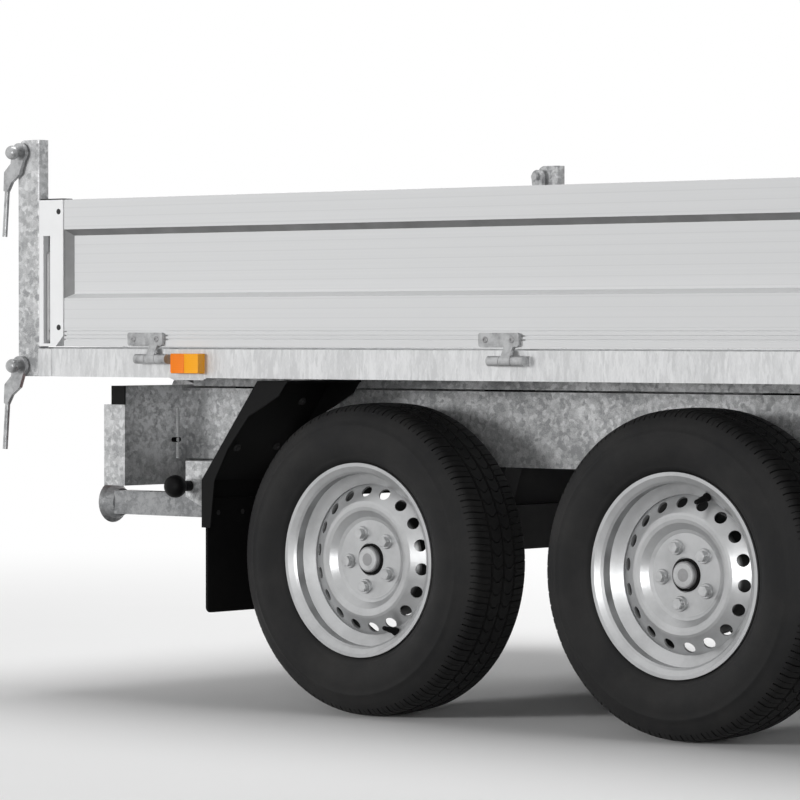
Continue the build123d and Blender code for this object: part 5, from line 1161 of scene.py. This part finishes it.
class TRAILER_OT_rear_plate(bpy.types.Operator):
    """Hangs a blank plate in its holder on the light beam"""

    bl_idname = "trailer.rear_plate"
    bl_label = "Rear plate"

    def execute(self, context):
        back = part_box("light_beam")[0].x
        holder = block("holder_pattern", rounded(0.532, 0.124, 0.010), 0.010, 0.002, pocket=(0.006, 0.003))
        place = facing((back + HOLDER_SINK, 0.0, PLATE_UP), BACKWARDS)
        lay(holder, "plate_holder", [place], "chassis", "black_plastic")
        plate = block("plate_pattern", rounded(0.518, 0.110, 0.008), 0.0024, 0.0006, pocket=(0.004, 0.0008))
        place = facing((back - PLATE_PROUD, 0.0, PLATE_UP), BACKWARDS)
        lay(plate, "blank_plate", [place], "chassis", "plate_white")
        return {"FINISHED"}


# Pump box fittings

LID_DEPTH = 0.070
LATCH_RISE = 0.020
HOOK_RISE = 0.016
LEAF_SHEET = 0.004
LEAF_SINK = 0.0008
ROLL_RADIUS, ROLL_HALF = 0.0055, 0.028


class TRAILER_OT_pump_fittings(bpy.types.Operator):
    """Puts latches and hinges on the pump box"""

    bl_idname = "trailer.pump_fittings"
    bl_label = "Pump box fittings"

    def execute(self, context):
        low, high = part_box("pump_box")
        seam = high.z - LID_DEPTH
        wide = (high.y - low.y) / 4
        middle = (low.y + high.y) / 2
        rows = (middle - wide, middle + wide)
        latch = block("latch_pattern", rounded(0.034, 0.062, 0.006), 0.007, 0.0015, pocket=(0.006, 0.002))
        hook = block("latch_pattern", rounded(0.022, 0.020, 0.004), 0.011, 0.0015)
        hook = scatter(hook, "latch_pattern", [Matrix.Translation((0.0, HOOK_RISE, 0.0))])
        latch = merge("latch_pattern", [latch, hook])
        places = [facing((high.x - LEAF_SINK, row, seam + LATCH_RISE), FORWARDS) for row in rows]
        lay(latch, "pump_latches", places, "chassis", "plated")
        leaf = block("leaf_pattern", rounded(0.060, 0.046, 0.005), LEAF_SHEET, 0.001)
        roll = lathe("leaf_pattern", [(0.0, -ROLL_HALF), (ROLL_RADIUS, -ROLL_HALF), (ROLL_RADIUS, ROLL_HALF),
                                      (0.0, ROLL_HALF)], 14)
        lying = Matrix.Translation((0.0, 0.0, LEAF_SHEET)) @ Matrix.Rotation(TURN / 4, 4, "Y")
        roll = scatter(roll, "leaf_pattern", [lying])
        leaf = merge("leaf_pattern", [leaf, roll])
        places = [facing((low.x + LEAF_SINK, row, seam), BACKWARDS) for row in rows]
        lay(leaf, "pump_hinges", places, "chassis", "plated")
        return {"FINISHED"}


# Stage

FLOOR_RADIUS = 90.0
FLOOR_DROP = 0.0005
FLOOR_FADE = (2.6, 7.0)
WHITE = (1.0, 1.0, 1.0, 1.0)
# Place, target, diameter and whether it shows in glossy surfaces.
LAMPS = {
    "key": ((-4.6, -8.4, 1.5), (-1.0, -0.7, 0.6), 1.6, False),
    "front": ((3.0, -5.8, 0.8), (-1.5, -0.7, 0.5), 2.0, True),
    "far": ((-3.0, 8.0, 3.0), (-0.6, 0.7, 0.6), 4.0, False),
    "top": ((-0.7, 1.0, 7.5), (-0.7, 0.0, 0.0), 6.0, True),
}


def seen_rays(tree):
    """One for the rays that should meet a plain white background."""
    path = node(tree, "LightPath").outputs
    seen = worked(tree, "MAXIMUM", path["Is Camera Ray"], path["Is Glossy Ray"])
    return worked(tree, "MAXIMUM", seen, path["Is Transmission Ray"])


def make_floor(stage):
    """Pale floor that keeps the shadow and fades to white away from the trailer."""
    deselect()
    bpy.ops.mesh.primitive_circle_add(vertices=64, radius=FLOOR_RADIUS, fill_type="NGON",
                                      location=(0, 0, -FLOOR_DROP))
    floor = bpy.context.object
    floor.name = "floor"
    bpy.ops.object.transform_apply(location=True, rotation=True, scale=True)
    material = bpy.data.materials.new("pale_floor")
    material.use_nodes = True
    tree = material.node_tree
    tree.nodes.clear()
    place = here(tree)
    far = node(tree, "VectorMath", {0: place}, operation="LENGTH").outputs["Value"]
    fade = node(tree, "MapRange", {"Value": far, "From Min": FLOOR_FADE[0], "From Max": FLOOR_FADE[1]},
                interpolation_type="SMOOTHSTEP").outputs[0]
    seen = seen_rays(tree)
    white = tuple(stage.floor_white)
    pale = blended(tree, noise(tree, place, 3.0, 4.0), white, scaled(white, 0.985))
    tint = blended(tree, seen, tuple(stage.floor_bounce), pale)
    matt = node(tree, "BsdfDiffuse", {"Color": tint}).outputs[0]
    glow = node(tree, "Emission", {"Color": WHITE, "Strength": 1.0}).outputs[0]
    mask = worked(tree, "MULTIPLY", seen, fade)
    mixed = node(tree, "MixShader", {0: mask, 1: matt, 2: glow}).outputs[0]
    node(tree, "OutputMaterial", {"Surface": mixed})
    floor.data.materials.append(material)


def make_world(sky):
    """Even light all round, and a plain white background."""
    world = bpy.data.worlds.new("studio")
    bpy.context.scene.world = world
    world.use_nodes = True
    tree = world.node_tree
    tree.nodes.clear()
    soft = node(tree, "Background", {"Color": WHITE, "Strength": sky}).outputs[0]
    plain = node(tree, "Background", {"Color": WHITE, "Strength": 1.0}).outputs[0]
    mixed = node(tree, "MixShader", {0: seen_rays(tree), 1: soft, 2: plain}).outputs[0]
    node(tree, "OutputWorld", {"Surface": mixed})


def add_lamp(name, place, target, size, glossy, power):
    """Round area lamp that the camera doesn't see."""
    deselect()
    bpy.ops.object.light_add(type="AREA", location=place)
    lamp = bpy.context.object
    lamp.name = name
    lamp.data.shape = "DISK"
    lamp.data.size = size
    lamp.data.energy = power
    lamp.visible_camera = False
    lamp.visible_glossy = glossy
    lamp.rotation_mode = "QUATERNION"
    lamp.rotation_quaternion = (Vector(target) - Vector(place)).to_track_quat("-Z", "Y")


def add_camera(stage):
    """Camera at the photograph's viewing angle."""
    deselect()
    turn, dip = stage.camera_turn, stage.camera_dip
    ahead = Vector((-math.sin(turn) * math.cos(dip), math.cos(turn) * math.cos(dip), -math.sin(dip)))
    bpy.ops.object.camera_add(location=stage.camera_place)
    camera = bpy.context.object
    camera.name = "camera"
    camera.rotation_mode = "QUATERNION"
    camera.rotation_quaternion = ahead.to_track_quat("-Z", "Y")
    camera.data.sensor_width = 36.0
    camera.data.lens = stage.lens
    camera.data.clip_end = 500.0
    bpy.context.scene.camera = camera


class TRAILER_OT_stage(bpy.types.Operator):
    """Sets the floor, studio light and camera"""

    bl_idname = "trailer.stage"
    bl_label = "Stage"

    def execute(self, context):
        stage = settings("stage")
        make_floor(stage)
        make_world(stage.sky)
        for name, (place, target, size, glossy) in LAMPS.items():
            add_lamp(name + "_lamp", place, target, size, glossy, getattr(stage, name + "_power"))
        add_camera(stage)
        context.scene.view_settings.view_transform = "Standard"
        return {"FINISHED"}


class TRAILER_PT_dressing(bpy.types.Panel):
    """Lists the trailer's sizes, colours and steps"""

    bl_idname = "TRAILER_PT_dressing"
    bl_label = "Tipper Trailer"
    bl_space_type = "VIEW_3D"
    bl_region_type = "UI"
    bl_category = "Trailer"

    def draw(self, context):
        for group in GROUPS:
            values = settings(group)
            box = self.layout.box()
            for name in values.bl_rna.properties.keys():
                if name not in ("rna_type", "name"):
                    box.prop(values, name)
        for step in STEPS:
            self.layout.operator(step.bl_idname)


GROUPS = {
    "finishes": TrailerFinishes,
    "tyres": TrailerTyres,
    "fittings": TrailerFittings,
    "stage": TrailerStage,
}
STEPS = (
    TRAILER_OT_stage,
    TRAILER_OT_finishes,
    TRAILER_OT_tyres,
    TRAILER_OT_wheel_fittings,
    TRAILER_OT_side_fittings,
    TRAILER_OT_rail_fittings,
    TRAILER_OT_lamps,
    TRAILER_OT_guard_bolts,
    TRAILER_OT_welds,
    TRAILER_OT_floor_screws,
    TRAILER_OT_rear_plate,
    TRAILER_OT_pump_fittings,
)


def register():
    for name, group in GROUPS.items():
        bpy.utils.register_class(group)
        setattr(bpy.types.Scene, "trailer_" + name, bpy.props.PointerProperty(type=group))
    for step in STEPS:
        bpy.utils.register_class(step)
    bpy.utils.register_class(TRAILER_PT_dressing)


def unregister():
    bpy.utils.unregister_class(TRAILER_PT_dressing)
    for step in reversed(STEPS):
        bpy.utils.unregister_class(step)
    for name, group in GROUPS.items():
        delattr(bpy.types.Scene, "trailer_" + name)
        bpy.utils.unregister_class(group)


def main():
    register()
    bpy.ops.trailer.stage()
    bpy.ops.trailer.finishes()
    bpy.ops.trailer.tyres()
    bpy.ops.trailer.wheel_fittings()
    bpy.ops.trailer.side_fittings()
    bpy.ops.trailer.rail_fittings()
    bpy.ops.trailer.lamps()
    bpy.ops.trailer.guard_bolts()
    bpy.ops.trailer.welds()
    bpy.ops.trailer.floor_screws()
    bpy.ops.trailer.rear_plate()
    bpy.ops.trailer.pump_fittings()
    deselect()


if __name__ == "__main__":
    main()
